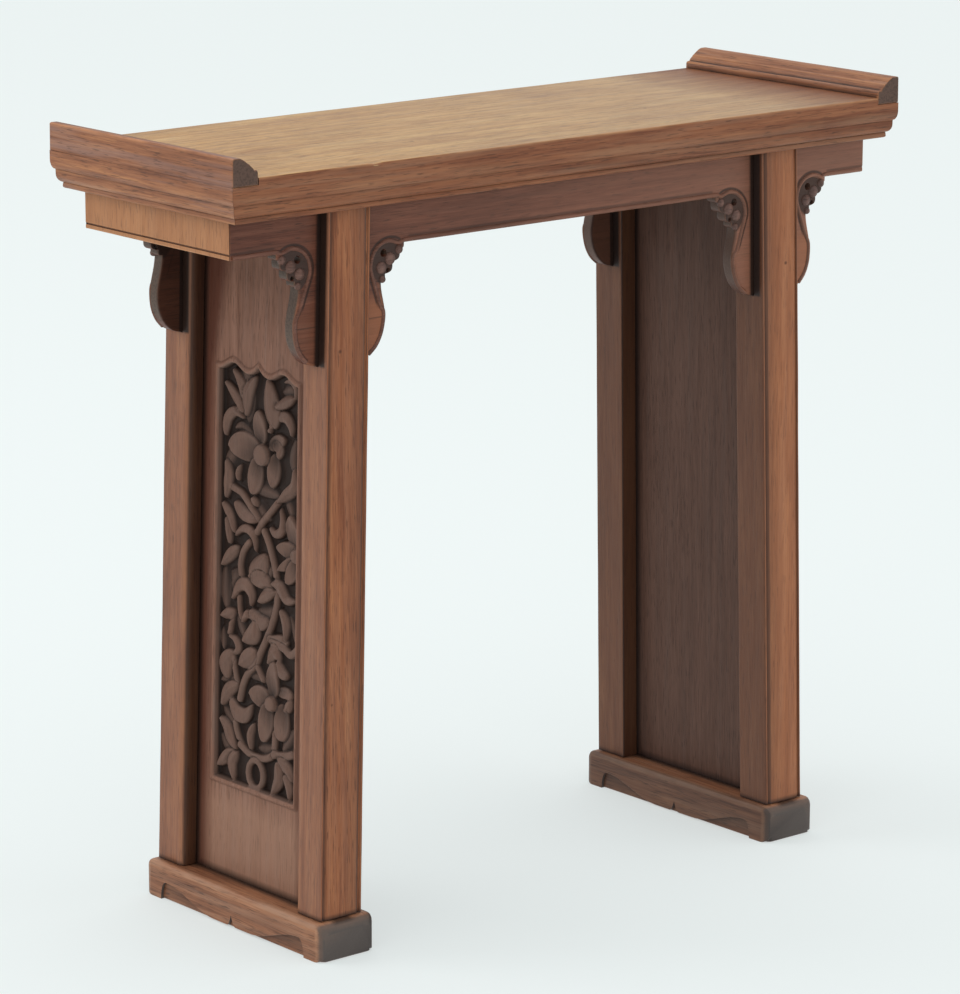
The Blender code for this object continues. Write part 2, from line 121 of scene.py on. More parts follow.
def paper_floor():
    mesh = bpy.data.meshes.new("paper_floor")
    corners = [(-FLOOR_REACH, -FLOOR_REACH, 0), (FLOOR_REACH, -FLOOR_REACH, 0),
               (FLOOR_REACH, FLOOR_REACH, 0), (-FLOOR_REACH, FLOOR_REACH, 0)]
    mesh.from_pydata(corners, [], [(0, 1, 2, 3)])
    paper = bpy.data.materials.new("pale_paper")
    paper.use_nodes = True
    shader = paper.node_tree.nodes["Principled BSDF"]
    shader.inputs["Base Color"].default_value = (*[c * (1 - PAPER_GLOW) for c in PAPER], 1)
    shader.inputs["Emission Color"].default_value = (*PAPER, 1)
    shader.inputs["Emission Strength"].default_value = PAPER_GLOW
    shader.inputs["Roughness"].default_value = 0.9
    shader.inputs["Specular IOR Level"].default_value = 0.1
    mesh.materials.append(paper)
    floor = bpy.data.objects.new("paper_floor", mesh)
    bpy.context.collection.objects.link(floor)


def soft_panel(name, at, aim, size, watts):
    light = bpy.data.lights.new(name, "AREA")
    light.size = size
    light.energy = watts
    lamp = bpy.data.objects.new(name, light)
    lamp.location = at
    lamp.rotation_euler = (Vector(aim) - Vector(at)).to_track_quat("-Z", "Y").to_euler()
    bpy.context.collection.objects.link(lamp)


def pale_sky():
    """World that brightens evenly from the horizon to the zenith."""
    sky = bpy.data.worlds.new("pale_sky")
    sky.use_nodes = True
    tree = sky.node_tree
    direction = tree.nodes.new("ShaderNodeTexCoord")
    parts = tree.nodes.new("ShaderNodeSeparateXYZ")
    strength = tree.nodes.new("ShaderNodeMapRange")
    strength.inputs["To Min"].default_value = HORIZON
    strength.inputs["To Max"].default_value = ZENITH
    background = tree.nodes["Background"]
    background.inputs["Color"].default_value = (*SKY_TINT, 1)
    tree.links.new(direction.outputs["Generated"], parts.inputs[0])
    tree.links.new(parts.outputs[2], strength.inputs["Value"])
    tree.links.new(strength.outputs[0], background.inputs["Strength"])
    bpy.context.scene.world = sky


paper_floor()
for light_name, setting in LIGHTS.items():
    soft_panel(light_name, **setting)
pale_sky()
print("lights:", ", ".join(LIGHTS), "and the sky")

# %% [markdown]
# ## Sizes
# All the shapes below are written in millimetres. Outer sizes are read from the frame's boxes, so the boards
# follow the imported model. The splay of the legs and the small mouldings are named here or beside their piece.

# %% Sizes that several boards share
ENDS = {"left": -1, "right": 1}
SIDES = {"front": -1, "back": 1}
GAP = 0.25


def node_box(node):
    """Lowest and highest corner of a node, in millimetres."""
    return [[float(c) / MM for c in corner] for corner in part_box(node)]


HALF_LENGTH, HALF_DEPTH, TOP_SURFACE = node_box("top_plank")[1]
UNDERSIDE = node_box("top_plank")[0][2]
FLANGE_SEAT = node_box("left_flange")[0][2]
FLANGE_CREST = node_box("left_flange")[1][2]
FLANGE_INNER = -node_box("left_flange")[1][0]
APRON_END = node_box("front_apron")[1][0]
APRON_FACE = -node_box("front_apron")[0][1]
APRON_BACK = -node_box("front_apron")[1][1]
SPANDREL_BOTTOM, APRON_TOP = (corner[2] for corner in node_box("front_apron"))
END_APRON_BOTTOM = node_box("left_end_apron")[0][2]
APRON_DEEPER = 1.8
APRON_BOTTOM = END_APRON_BOTTOM - APRON_DEEPER
FOOT_HEIGHT = node_box("left_foot")[1][2]
FOOT_HALF = node_box("left_foot")[1][1]
POST_OUTER = 102.2
POST_FRONT = 42.8
POST_WIDTH = 17.0
POST_DEPTH = 13.8
POST_BACK = POST_FRONT - POST_DEPTH
PANEL_RECESS = 6.0
PANEL_THICKNESS = 4.0
PANEL_TONGUE = 2.2
SPLAY_LENGTHWISE = 6.2
SPLAY_ACROSS = 1.8


def splay(z, amount):
    """How far a leg has moved outward at height z, which may be a number, an array or a shader's value."""
    return (UNDERSIDE - z) * (amount / (UNDERSIDE - FOOT_HEIGHT))


print("top", 2 * HALF_LENGTH, "x", 2 * HALF_DEPTH, "mm, crest at", FLANGE_CREST)

# %% [markdown]
# ## Arithmetic for shaders
# A finish needs many small rules, such as dirt within a few millimetres of a post. Each could be a chain of
# Math nodes, added one by one, but such a chain is hard to read. So what a node gives out is wrapped in a
# small class with the usual arithmetic, and a rule can be written as a formula.

# %% Arithmetic for shader nodes
RAMP_START = 0.36
RAMP_LENGTH = 0.28


def add_node(tree, kind, inputs=None, **settings):
    """New node with its settings, and with inputs given as plain values or as outputs to link."""
    made = tree.nodes.new(kind)
    for key, value in settings.items():
        setattr(made, key, value)
    for key, value in (inputs or {}).items():
        value = getattr(value, "socket", value)
        if isinstance(value, bpy.types.NodeSocket):
            tree.links.new(value, made.inputs[key])
        else:
            made.inputs[key].default_value = value
    return made


class Value:
    """What a shader node gives out, with arithmetic that adds the nodes for it."""

    def __init__(self, tree, socket):
        self.tree = tree
        self.socket = socket

    def through(self, kind, inputs=None, output=0, **settings):
        """What a new node in the same shader gives out."""
        return Value(self.tree, add_node(self.tree, kind, inputs, **settings).outputs[output])

    def worked_out(self, operation, first, second=0):
        return self.through("ShaderNodeMath", {0: first, 1: second}, operation=operation)

    def __add__(self, other):
        return self.worked_out("ADD", self, other)

    def __sub__(self, other):
        return self.worked_out("SUBTRACT", self, other)

    def __rsub__(self, other):
        return self.worked_out("SUBTRACT", other, self)

    def __mul__(self, other):
        return self.worked_out("MULTIPLY", self, other)

    def __pow__(self, other):
        return self.worked_out("POWER", self, other)

    def __abs__(self):
        return self.worked_out("ABSOLUTE", self)

    def ramp(self, low, high, out_low=0.0, out_high=1.0):
        """Part of the value's range, stretched to another range and held at its ends."""
        return self.through("ShaderNodeMapRange", {"Value": self, "From Min": low, "From Max": high,
                                                   "To Min": out_low, "To Max": out_high})

    def parts(self):
        """The three numbers of a vector."""
        outputs = add_node(self.tree, "ShaderNodeSeparateXYZ", {0: self}).outputs
        return [Value(self.tree, output) for output in outputs]

    def mark(self, name):
        """Number of that name which the mesh carries at each of its points."""
        return self.through("ShaderNodeAttribute", output="Fac", attribute_name=name)


def highest(first, *others):
    for other in others:
        first = first.worked_out("MAXIMUM", first, other)
    return first


def blend(share, first, second):
    """Lay a second tone over a first one, either given as a value or as a colour on a screen."""
    inputs = {0: share}
    for key, tone in ((6, first), (7, second)):
        inputs[key] = linear(*tone) if isinstance(tone, tuple) else tone
    return share.through("ShaderNodeMix", inputs, 2, data_type="RGBA")


def tone_ramp(factor, tones):
    """Colour ramp through evenly spaced tones, from dark to light."""
    made = add_node(factor.tree, "ShaderNodeValToRGB", {"Fac": factor})
    stops = made.color_ramp.elements
    while len(stops) < len(tones):
        stops.new(0.5)
    for i, (stop, tone) in enumerate(zip(stops, tones)):
        stop.position = RAMP_START + RAMP_LENGTH * i / (len(tones) - 1)
        stop.color = linear(*tone)
    return Value(factor.tree, made.outputs["Color"])

# %% [markdown]
# ## Wood
# The table is one reddish hardwood, rubbed to a satin shine. Along the grain it shows wide bands, streaks,
# fine fibres and short dark pores, and on cut ends it is darker and spotted. Edges are rubbed pale. Where
# boards meet and in hollows the wood is painted darker, partly for old dirt and partly as painted shade. A wood
# texture node would give even rings. Stretched noise at several scales is closer to a sawn board, and it reads
# Object coordinates, so each board gets its own stretch of it. Each piece below gives the wood its own tones,
# with rules for where dirt and painted shade darken it and where polish and painted light make it lighter.

# %% Build a wood
GRAIN = {"length": 0, "depth": 1, "height": 2}
FIGURES = {
    "bands": {"along": 11, "across": 150, "distortion": 0.6},
    "streaks": {"along": 22, "across": 620, "distortion": 0.3},
    "fibres": {"along": 70, "across": 2100},
    "pores": {"along": 150, "across": 2700, "detail": 1},
    "blooming": {"along": 13, "across": 330},
    "clouds": {"along": 38, "across": 38},
    "specks": {"along": 1500, "across": 1500, "detail": 2},
}
# SHADE is painted shade for faces that look to the middle. The dark tone below serves both dirt and painted
# shade.
SHADE = (46, 38, 37)
DIRT_AND_SHADE = (36, 25, 21)
FACING_REACH = 15
RIGHT_REACH = 120


def grained_noise(coords, axis, along, across, detail=3, distortion=0):
    """Noise stretched along the grain, in repeats to the metre along and across it."""
    scale = [along if i == axis else across for i in range(3)]
    stretched = coords.through("ShaderNodeMapping", {"Vector": coords, "Scale": scale})
    return coords.through("ShaderNodeTexNoise",
                          {"Vector": stretched, "Scale": 1, "Detail": detail, "Roughness": 0.6,
                           "Distortion": distortion}, "Fac")


def place_of(coords):
    """What a rule may ask for: distance from the middle planes and height in millimetres, which way the face
    looks, how much it looks up, how squarely it looks lengthwise or across, whether it looks to the middle
    or away from it, and how far to the right it lies."""
    spot = coords.through("ShaderNodeVectorMath", {0: coords, "Scale": 1 / MM}, operation="SCALE")
    x, y, z = spot.parts()
    facing = coords.through("ShaderNodeNewGeometry", output="Normal").parts()
    at = SimpleNamespace(x=abs(x), y=abs(y), z=z, facing=facing, upward=facing[2].ramp(0.55, 0.95),
                         right=x.ramp(-RIGHT_REACH, RIGHT_REACH))
    at.square_x, at.square_y = (abs(turned).ramp(0.5, 0.8) for turned in facing[:2])
    away_x, away_y = x * facing[0], y * facing[1]
    at.inward_x, at.inward_y = (away.ramp(0, -FACING_REACH) for away in (away_x, away_y))
    at.outward_x, at.outward_y = (away.ramp(0, FACING_REACH) for away in (away_x, away_y))
    return at


def wood(name, grain, tones, worn, end_tone, bloom, upper=None, spots=(), inner=0.0, washes=(),
         bloom_share=0.35, dust_and_shade=DIRT_AND_SHADE, shine=0.28, top_light_withheld=None):
    """Satin wood with its grain along one axis.

    tones go from dark to light, upper is a second set for faces that look up, paler partly as faded wood and
    partly as painted top light, worn is the rubbed tone of the edges, end_tone that of cut ends, bloom a
    greyish tone in streaks, inner how much painted shade darkens the faces that look to the middle, washes are
    tones with the rule for their place, spots are marks given as (x, y, z, radius), the dust tone is that of
    pores, specks, spots and hollows, partly dust and partly painted shade, shine is how strongly the polish
    mirrors, and the last rule marks places that look up but get a painted reflection of something dark instead
    of the painted top light.
    """
    made = bpy.data.materials.new(name)
    made.use_nodes = True
    tree = made.node_tree
    shader = tree.nodes["Principled BSDF"]
    axis = GRAIN[grain]
    coords = Value(tree, add_node(tree, "ShaderNodeTexCoord").outputs["Object"])
    at = place_of(coords)
    seen = SimpleNamespace(**{label: grained_noise(coords, axis, **form) for label, form in FIGURES.items()})

    figure = seen.bands * 0.36 + seen.streaks * 0.36 + seen.fibres * 0.28
    colour = tone_ramp(figure, tones)
    # Faces that look up are paler, partly faded wood and partly painted top light.
    if upper:
        top_light_share = at.upward
        if top_light_withheld:
            top_light_share = top_light_share - top_light_share * top_light_withheld(at)
        colour = blend(top_light_share, colour, tone_ramp(figure, upper))
    colour = blend(seen.blooming.ramp(0.48, 0.66, 0, bloom_share), colour, bloom)
    pore_depth = seen.pores.ramp(0.60, 0.67)
    colour = blend(pore_depth * 0.5, colour, dust_and_shade)
    colour = blend(seen.clouds.ramp(0.4, 0.7, 0, 0.2), colour, tones[0])

    spotted = blend(seen.specks.ramp(0.45, 0.7, 0, 0.5), end_tone, dust_and_shade)
    colour = blend(abs(at.facing[axis]).ramp(0.75, 0.95), colour, spotted)

    edge = coords.mark("edge")
    rubbed = edge.ramp(0.1, 0.9) * seen.clouds.ramp(0.38, 0.62, 0.05, 0.75)
    colour = blend(rubbed, colour, worn)
    # Hollows are darkened, partly as dust and partly as painted shade.
    dust_and_shade_in_hollows = edge.ramp(-0.05, -0.95) * seen.clouds.ramp(0.2, 0.6, 0.6, 0.95)
    colour = blend(dust_and_shade_in_hollows, colour, dust_and_shade)
    for tone, rule in washes:
        colour = blend(rule(at), colour, tone)
    # Faces that look to the middle get painted shade.
    if inner:
        colour = blend(at.inward_x * inner, colour, SHADE)
    for *middle, radius in spots:
        middle = [c * MM for c in middle]
        away = coords.through("ShaderNodeVectorMath", {0: coords, 1: middle}, "Value", operation="DISTANCE")
        colour = blend(away.ramp(radius * MM, radius * 0.5 * MM, 0, 0.7), colour, dust_and_shade)

    tree.links.new(colour.socket, shader.inputs["Base Color"])
    tree.links.new(seen.fibres.ramp(0.3, 0.7, 0.52, 0.38).socket, shader.inputs["Roughness"])
    shader.inputs["Specular IOR Level"].default_value = shine
    relief = seen.fibres * 0.5 - pore_depth
    bump = add_node(tree, "ShaderNodeBump", {"Height": relief, "Strength": 0.3, "Distance": 0.12 * MM})
    tree.links.new(bump.outputs[0], shader.inputs["Normal"])
    print("wood:", name)
    return made

# %% [markdown]
# ## Boards from rings
# Most boards here are a section carried along a line, so they are lofted: a row of closed rings is skinned
# with quads and capped. A point carries an edge mark with its place, 1 on a rubbed arris and -1 in a hollow,
# which the wood reads: hollows are painted dark, partly as dust and partly as painted shade. A guard point
# beside each round keeps the mark and the smooth shading off the flats.

# %% Eased sections
def unit(vector):
    return vector / np.linalg.norm(vector)


def eased(outline, guard=0.6, steps=4):
    """Ease the corners of a closed outline of (u, v, reach[, mark]) points into (u, v, mark) points.

    reach is how far the round runs from its corner. A point with no reach is kept, with its own mark.
    """
    corners = np.array([p[:2] for p in outline], dtype=float)
    following = np.roll(corners, -1, axis=0)
    turning = np.sign(np.sum(corners[:, 0] * following[:, 1] - corners[:, 1] * following[:, 0]))
    points = []
    for i, (here, entry) in enumerate(zip(corners, outline)):
        reach = entry[2]
        if not reach:
            points.append((*here, entry[3] if len(entry) > 3 else 0))
            continue
        before = unit(corners[i - 1] - here)
        after = unit(following[i] - here)
        convex = -(before[0] * after[1] - before[1] * after[0]) * turning
        points.append((*(here + before * (reach + guard)), 0))
        for t in np.linspace(0, 1, steps + 1):
            spot = here + before * reach * (1 - t) ** 2 + after * reach * t ** 2
            points.append((*spot, math.copysign(0.5 + 2 * t * (1 - t), convex)))
        points.append((*(here + after * (reach + guard)), 0))
    return points


def drawn_in(outline, amount):
    """Draw a closed outline of (u, v, mark) points inwards by an even amount."""
    points = np.array([p[:2] for p in outline], dtype=float)
    ahead = np.roll(points, -1, axis=0) - points
    ahead /= np.maximum(np.linalg.norm(ahead, axis=1, keepdims=True), 1e-9)
    behind = np.roll(ahead, 1, axis=0)
    following = np.roll(points, -1, axis=0)
    turning = np.sign(np.sum(points[:, 0] * following[:, 1] - points[:, 1] * following[:, 0]))
    inward = np.stack([-(ahead + behind)[:, 1], (ahead + behind)[:, 0]], axis=1) * turning
    inward /= np.maximum(np.linalg.norm(inward, axis=1, keepdims=True), 1e-9)
    return [(*spot, p[2]) for spot, p in zip(points + inward * amount, outline)]


# %% [markdown]
# ### From rings to a board
# The rings become one closed skin in millimetres. A hand plane leaves long soft waves, which a bevelled box
# would lack, so each point is sunk very slightly by a slow noise. The board then gets its wood, turns into
# metres and takes the place of its node in the frame.

# %% Skin, plane and fix a board
def loft(rings):
    """Closed skin through rings of (x, y, z, mark) points, capped at both ends."""
    bm = bmesh.new()
    layer = bm.verts.layers.float.new("edge")
    loops = []
    for ring in rings:
        loop = []
        for x, y, z, mark in ring:
            corner = bm.verts.new((x, y, z))
            corner[layer] = mark
            loop.append(corner)
        loops.append(loop)
    for low, high in zip(loops, loops[1:]):
        for i, corner in enumerate(low):
            j = (i + 1) % len(low)
            bm.faces.new((corner, low[j], high[j], high[i]))
    bm.faces.new(loops[0])
    bm.faces.new(loops[-1])
    bmesh.ops.recalc_face_normals(bm, faces=bm.faces)
    return bm


PLANE_MARK = 0.12
PLANE_WAVE = 0.045
SHARP_ANGLE = math.radians(40)


def planed_by_hand(bm):
    """Sink the surface very slightly in long soft waves, as a hand plane leaves it."""
    bm.normal_update()
    for corner in bm.verts:
        dip = PLANE_MARK * (0.5 + 0.5 * noise.noise(corner.co * PLANE_WAVE))
        corner.co -= corner.normal * max(dip, 0)


def board(name, bm, material):
    """Object in metres from a bmesh in millimetres, shaded smooth between its sharp edges."""
    bmesh.ops.scale(bm, vec=(MM, MM, MM), verts=bm.verts)
    mesh = bpy.data.meshes.new(name)
    bm.to_mesh(mesh)
    bm.free()
    mesh.materials.append(material)
    mesh.shade_smooth()
    mesh.set_sharp_from_angle(angle=SHARP_ANGLE)
    obj = bpy.data.objects.new(name, mesh)
    bpy.context.collection.objects.link(obj)
    return obj


def stands_for(obj, node):
    """Fix a finished board to the frame in place of its node."""
    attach(obj, "root")
    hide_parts(node)
    print(f"{obj.name}: {len(obj.data.polygons)} faces")

# %% [markdown]
# ## Wood of the top
# The upper face is gold and paler than the sides, partly faded by light and partly painted top light for the
# light that falls on it. To the right it turns greyer. Beside the right flange the painted top light is left
# out, and the top is painted darker and warmer as a painted reflection of the dark flange. These changes could
# be painted on the mesh, but they follow the length of the board, so each is a ramp along it.

# %% Wood of the top
FLANGE_REFLECTION_FROM = 93
FLANGE_REFLECTION_TO = 131


def flange_reflection(at):
    """Share of the top beside the right flange that gets a painted reflection of the dark flange."""
    return at.x.ramp(FLANGE_REFLECTION_FROM, FLANGE_REFLECTION_TO, 0, 0.88) * at.right.ramp(0.5, 0.6)


# A darker, warmer tone painted on the top beside the flange, as a painted reflection of it.
def flange_reflection_tint(at):
    return flange_reflection(at) * at.upward * 0.6


def greyer_right(at):
    return at.right * at.upward * at.x.ramp(FLANGE_REFLECTION_FROM, FLANGE_REFLECTION_TO, 0.25, 0)


top_wood = wood("top_wood", "length", [(96, 51, 32), (137, 82, 53), (162, 105, 70)],
                worn=(200, 148, 106), end_tone=(70, 48, 40), bloom=(150, 114, 90),
                upper=[(166, 118, 73), (193, 147, 92), (210, 170, 115)], top_light_withheld=flange_reflection,
                washes=[((168, 156, 146), greyer_right), ((108, 54, 24), flange_reflection_tint)],
                spots=[(-51.6, -22.1, TOP_SURFACE, 0.9), (56.1, -15.5, TOP_SURFACE, 0.8)])

# %% [markdown]
# ## The plank
# The top is one board with its grain lengthwise. Its long edges are moulded: a flat band, a round below it,
# a fillet, a second round and a thin lip. It could be a box with a bevelled edge, but the moulding has to
# meet the end cleats in a mitre. So the rings are level outlines, one for each line of the moulding, and the
# upper ones stop short at the flanges. A small dent in the front arris is pressed in afterwards.

# %% Moulding and plank
BAND_HEIGHT = 5.4
COVE_HEIGHT = 3.2
COVE_INSET = 1.3
FILLET_HEIGHT = 1.5
LIP_HEIGHT = 1.9
LIP_INSET = 3.1
LIP_STANDS = 0.2
CLEAT_WIDTH = 8.6
SHOULDER_X = HALF_LENGTH - CLEAT_WIDTH
SHOULDER_Y = HALF_DEPTH - CLEAT_WIDTH
SEAT_DROP = TOP_SURFACE - FLANGE_SEAT
QUARTER = [math.radians(a) for a in (0, 18, 36, 54, 72, 90)]
ARRIS = [(1.2, 0, 0), (0.5, 0, 0.6), (0.22, 0.06, 1), (0.06, 0.22, 1), (0, 0.5, 0.6), (0, 1.2, 0)]
PLANK_STATIONS = 68
FLANGE_GAP = 0.06
DENT_AT = -87.8
DENT_REACH = 3.2
DENT_DEPTH = 0.7
DENT_FALL = 0.7
DENT_ZONE = (1.6, 1.1)


def moulding():
    """Inset, drop and mark of each line of the moulded edge, from the surface down to the underside."""
    thickness = TOP_SURFACE - UNDERSIDE
    ovolo_top = BAND_HEIGHT + COVE_HEIGHT + FILLET_HEIGHT
    ovolo_height = thickness - LIP_HEIGHT - ovolo_top
    lines = ARRIS + [(0, SEAT_DROP, 0), (0, BAND_HEIGHT - 0.8, 0)]
    lines += [(COVE_INSET * (1 - math.cos(a)), BAND_HEIGHT + COVE_HEIGHT * math.sin(a), 0.25)
              for a in QUARTER[:-1]]
    lines += [(COVE_INSET, BAND_HEIGHT + COVE_HEIGHT, -0.3), (COVE_INSET, ovolo_top - 0.4, 0.1)]
    ovolo_width = LIP_INSET - COVE_INSET
    lines += [(COVE_INSET + ovolo_width * (1 - math.cos(a)), ovolo_top + ovolo_height * math.sin(a), 0.2)
              for a in QUARTER[:-1]]
    lip = LIP_INSET - LIP_STANDS
    lines += [(LIP_INSET, thickness - LIP_HEIGHT, -0.8), (lip + 0.1, thickness - LIP_HEIGHT + 0.2, 0.1),
              (lip, thickness - 0.6, 0.2), (lip + 0.15, thickness - 0.2, 0), (lip + 0.5, thickness, -0.5),
              (LIP_INSET + 1.0, thickness, -0.5)]
    return lines


def plank_stations():
    even = np.linspace(-FLANGE_INNER + 2, FLANGE_INNER - 2, PLANK_STATIONS)
    fine = np.linspace(DENT_AT - DENT_REACH, DENT_AT + DENT_REACH, 9)
    return sorted(set(even) | set(fine))


def plank_ring(inset, drop, mark, stops_at_flange):
    """Level outline of the plank: front edge, right end, back edge, left end."""
    x = FLANGE_INNER - FLANGE_GAP if stops_at_flange else HALF_LENGTH - inset
    end_x = x if stops_at_flange else SHOULDER_X
    y = HALF_DEPTH - inset
    z = TOP_SURFACE - drop
    run = [-x] + plank_stations() + [x]
    front = [(px, -y, z, mark) for px in run]
    back = [(px, y, z, mark) for px in reversed(run)]
    return front + [(end_x, -SHOULDER_Y, z, 0), (end_x, SHOULDER_Y, z, 0)] + back + [
        (-end_x, SHOULDER_Y, z, 0), (-end_x, -SHOULDER_Y, z, 0)]


def press_dent(bm):
    inset, drop = DENT_ZONE
    for corner in bm.verts:
        nearness = 1 - abs(corner.co.x - DENT_AT) / DENT_REACH
        if nearness > 0 and corner.co.y < inset - HALF_DEPTH and corner.co.z > TOP_SURFACE - drop:
            corner.co.y += DENT_DEPTH * nearness
            corner.co.z -= DENT_DEPTH * DENT_FALL * nearness


rings = []
for inset, drop, mark in moulding():
    if drop <= SEAT_DROP:
        rings.append(plank_ring(inset, drop, mark, True))
    if drop >= SEAT_DROP:
        rings.append(plank_ring(inset, drop, mark, False))
plank_mesh = loft(rings)
planed_by_hand(plank_mesh)
press_dent(plank_mesh)
stands_for(board("plank_board", plank_mesh, top_wood), "top_plank")

# %% [markdown]
# ## End cleats
# A cleat is a narrow strip across each end of the plank, with its grain front to back. It hides the plank's
# end grain and carries the same moulding round the corner on a mitre. The same rings serve, cut off at the
# seat of the flange.

# %% End cleats
MITRE_GAP = 0.06
CLEAT_STATIONS = np.linspace(-1, 1, 30)
end_wood = wood("end_wood", "depth", [(112, 66, 45), (156, 100, 68), (194, 132, 86)],
                worn=(206, 142, 98), end_tone=(94, 70, 59), bloom=(148, 116, 106), inner=0.15,
                bloom_share=0.6)


def cleat_ring(end, inset, drop, mark):
    x = HALF_LENGTH - inset
    outer = HALF_DEPTH - inset - MITRE_GAP
    inner_x = SHOULDER_X + GAP
    inner_y = SHOULDER_Y + GAP - MITRE_GAP
    z = TOP_SURFACE - drop
    edge = [(end * x, outer * t, z, mark) for t in CLEAT_STATIONS]
    return edge + [(end * inner_x, inner_y, z, 0), (end * inner_x, -inner_y, z, 0)]


for end_name, end in ENDS.items():
    lines = [line for line in moulding() if line[1] >= SEAT_DROP]
    cleat_mesh = loft([cleat_ring(end, *line) for line in lines])
    planed_by_hand(cleat_mesh)
    stands_for(board(f"{end_name}_cleat_board", cleat_mesh, end_wood), f"{end_name}_end_cleat")

# %% [markdown]
# ## Flanges
# The turned-up ends are separate strips, let into the top. The outside is upright and flush with the cleat.
# Inside, a flat crest rolls over into a slope with a faint ridge half way down, then a quirk and a small bead
# at the toe. The slope is listed as shares of its length, with the height above a straight line and a mark for
# the finish: the ridge and the bead are marked pale, partly as wear and partly as painted highlights, and the
# quirk dark, partly as dust and partly as painted shade. The section is lofted front to back. It shrinks at its
# last rings, so that the end grain has a soft edge.

# %% Flanges
FLANGE_STATIONS = 26
FLANGE_FLAT = 2.8
FLANGE_TOE = 1.3
FLANGE_SLOPE = [(0, 0, 0.3), (0.06, 0.18, 0.35), (0.14, 0.34, 0.3), (0.26, 0.44, 0.1), (0.4, 0.46, 0.1),
                (0.46, 0.46, 0.4), (0.5, 0.56, 0.9), (0.54, 0.4, 0.3), (0.64, 0.36, 0), (0.72, 0.3, -0.1),
                (0.765, 0.12, -0.6), (0.78, 0.05, -0.9), (0.8, 0.05, -0.9), (0.815, 0.18, -0.5),
                (0.85, 0.42, 0.2), (0.9, 0.54, 0.5), (0.95, 0.42, 0.2), (1, 0, 0)]
END_EASE = ((0, 0.62, 0), (0, 0.45, 0.4), (0.12, 0.14, 0.6), (0.45, 0, 0.4), (1.2, 0, 0))


def flange_section():
    """Distance in from the outer face, height and mark of the flange's section."""
    width = HALF_LENGTH - FLANGE_INNER
    outline = [(width, FLANGE_SEAT, 0), (0, FLANGE_SEAT, 0), (0, FLANGE_CREST, 0.8)]
    start = np.array((FLANGE_FLAT, FLANGE_CREST))
    run = np.array((width, TOP_SURFACE + FLANGE_TOE)) - start
    outward = unit(np.array((-run[1], run[0])))
    for share, rise, mark in FLANGE_SLOPE:
        outline.append((*(start + run * share + outward * rise), 0, mark))
    outline += [(width, TOP_SURFACE + 0.3, 0, -0.7), (width, TOP_SURFACE - 0.2, 0, -1)]
    return eased(outline)


def eased_run(low, high, stations):
    """Places along a run with the amount that a section is drawn in there, and a mark for its ends."""
    start = [(low + away, draw, mark) for away, draw, mark in END_EASE]
    stop = [(high - away, draw, mark) for away, draw, mark in reversed(END_EASE)]
    between = np.linspace(start[-1][0], stop[0][0], stations + 2)[1:-1]
    return start + [(place, 0, 0) for place in between] + stop


for end_name, end in ENDS.items():
    rings = []
    for y, draw, end_mark in eased_run(-HALF_DEPTH, HALF_DEPTH, FLANGE_STATIONS):
        section = drawn_in(flange_section(), draw)
        rings.append([(end * (HALF_LENGTH - u), y, v, max(mark, end_mark) if end_mark else mark * (draw == 0))
                      for u, v, mark in section])
    flange_mesh = loft(rings)
    planed_by_hand(flange_mesh)
    stands_for(board(f"{end_name}_flange_strip", flange_mesh, end_wood), f"{end_name}_flange")

# %% [markdown]
# ## Wood of the posts
# The cheeks beside the apron, the sides of the recess for the panel and the foot of each post are painted
# black, partly as wax and dust and partly as painted shade in these inside corners. A shader could look for
# such corners by itself, but that is noisy when the wood is baked. The corners are straight, so the distance
# to the next board gives the share of darkening. The posts on the right are paler, and their outer faces get a
# painted sheen.

# %% Wood of the posts
POST_MIDDLE = POST_OUTER - POST_WIDTH / 2
APRON_MIDDLE = (APRON_FACE + APRON_BACK) / 2
DARKENING_REACH = 3.2


def beside(value, middle, half, reach=DARKENING_REACH):
    """1 next to a board that stands half to each side of the middle, and 0 a little way off."""
    return abs(value - middle).ramp(half + reach, half + 0.2 * reach)


def post_dirt_and_shade(at):
    """Dark on the cheeks beside the apron, on the recess sides next to the panel and round the foot: dirt
    together with painted shade.
    """
    high = at.z.ramp(SPANDREL_BOTTOM - 0.5, SPANDREL_BOTTOM + 0.3)
    slot = beside(at.y, APRON_MIDDLE, APRON_FACE - APRON_MIDDLE + 2.6, 1.2)
    cheek = slot * high * at.square_x * 0.95
    recess = at.inward_y * at.square_y * 0.8
    foot = at.z.ramp(FOOT_HEIGHT + 2, FOOT_HEIGHT + 0.5, 0, 0.8)
    return highest(cheek, recess, foot)


def paler_right(at):
    return at.right * 0.26


# Outer faces of the posts are painted greyer and paler, a painted sheen of the light from the left.
def outer_painted_sheen(at):
    return at.outward_x * at.square_x * 0.3


post_wood = wood("post_wood", "height", [(114, 60, 35), (150, 91, 58), (176, 115, 76)],
                 worn=(176, 112, 70), end_tone=(70, 48, 40), bloom=(154, 116, 96), inner=0.62,
                 bloom_share=0.2, dust_and_shade=(62, 30, 18),
                 washes=[((196, 128, 86), paler_right), ((132, 106, 94), outer_painted_sheen), (DIRT_AND_SHADE, post_dirt_and_shade)],
                 spots=[(-98.2, -43.5, 200.4, 0.9), (-102.9, -43.5, 85.1, 0.8),
                        (97.3, -43.2, 206.3, 0.8), (101.7, -43.2, 203.3, 0.7)])

# %% [markdown]
# ## Posts
# Each post leans outward both ways. Its show face has a thin bead at both corners with a quirk beside it, and
# its back has a groove for the end panel. From the top down it is slotted, so that it straddles the apron.
# The leaning shaft is a loft, and the slot is one Boolean cut, applied at once so that it is a plain mesh.

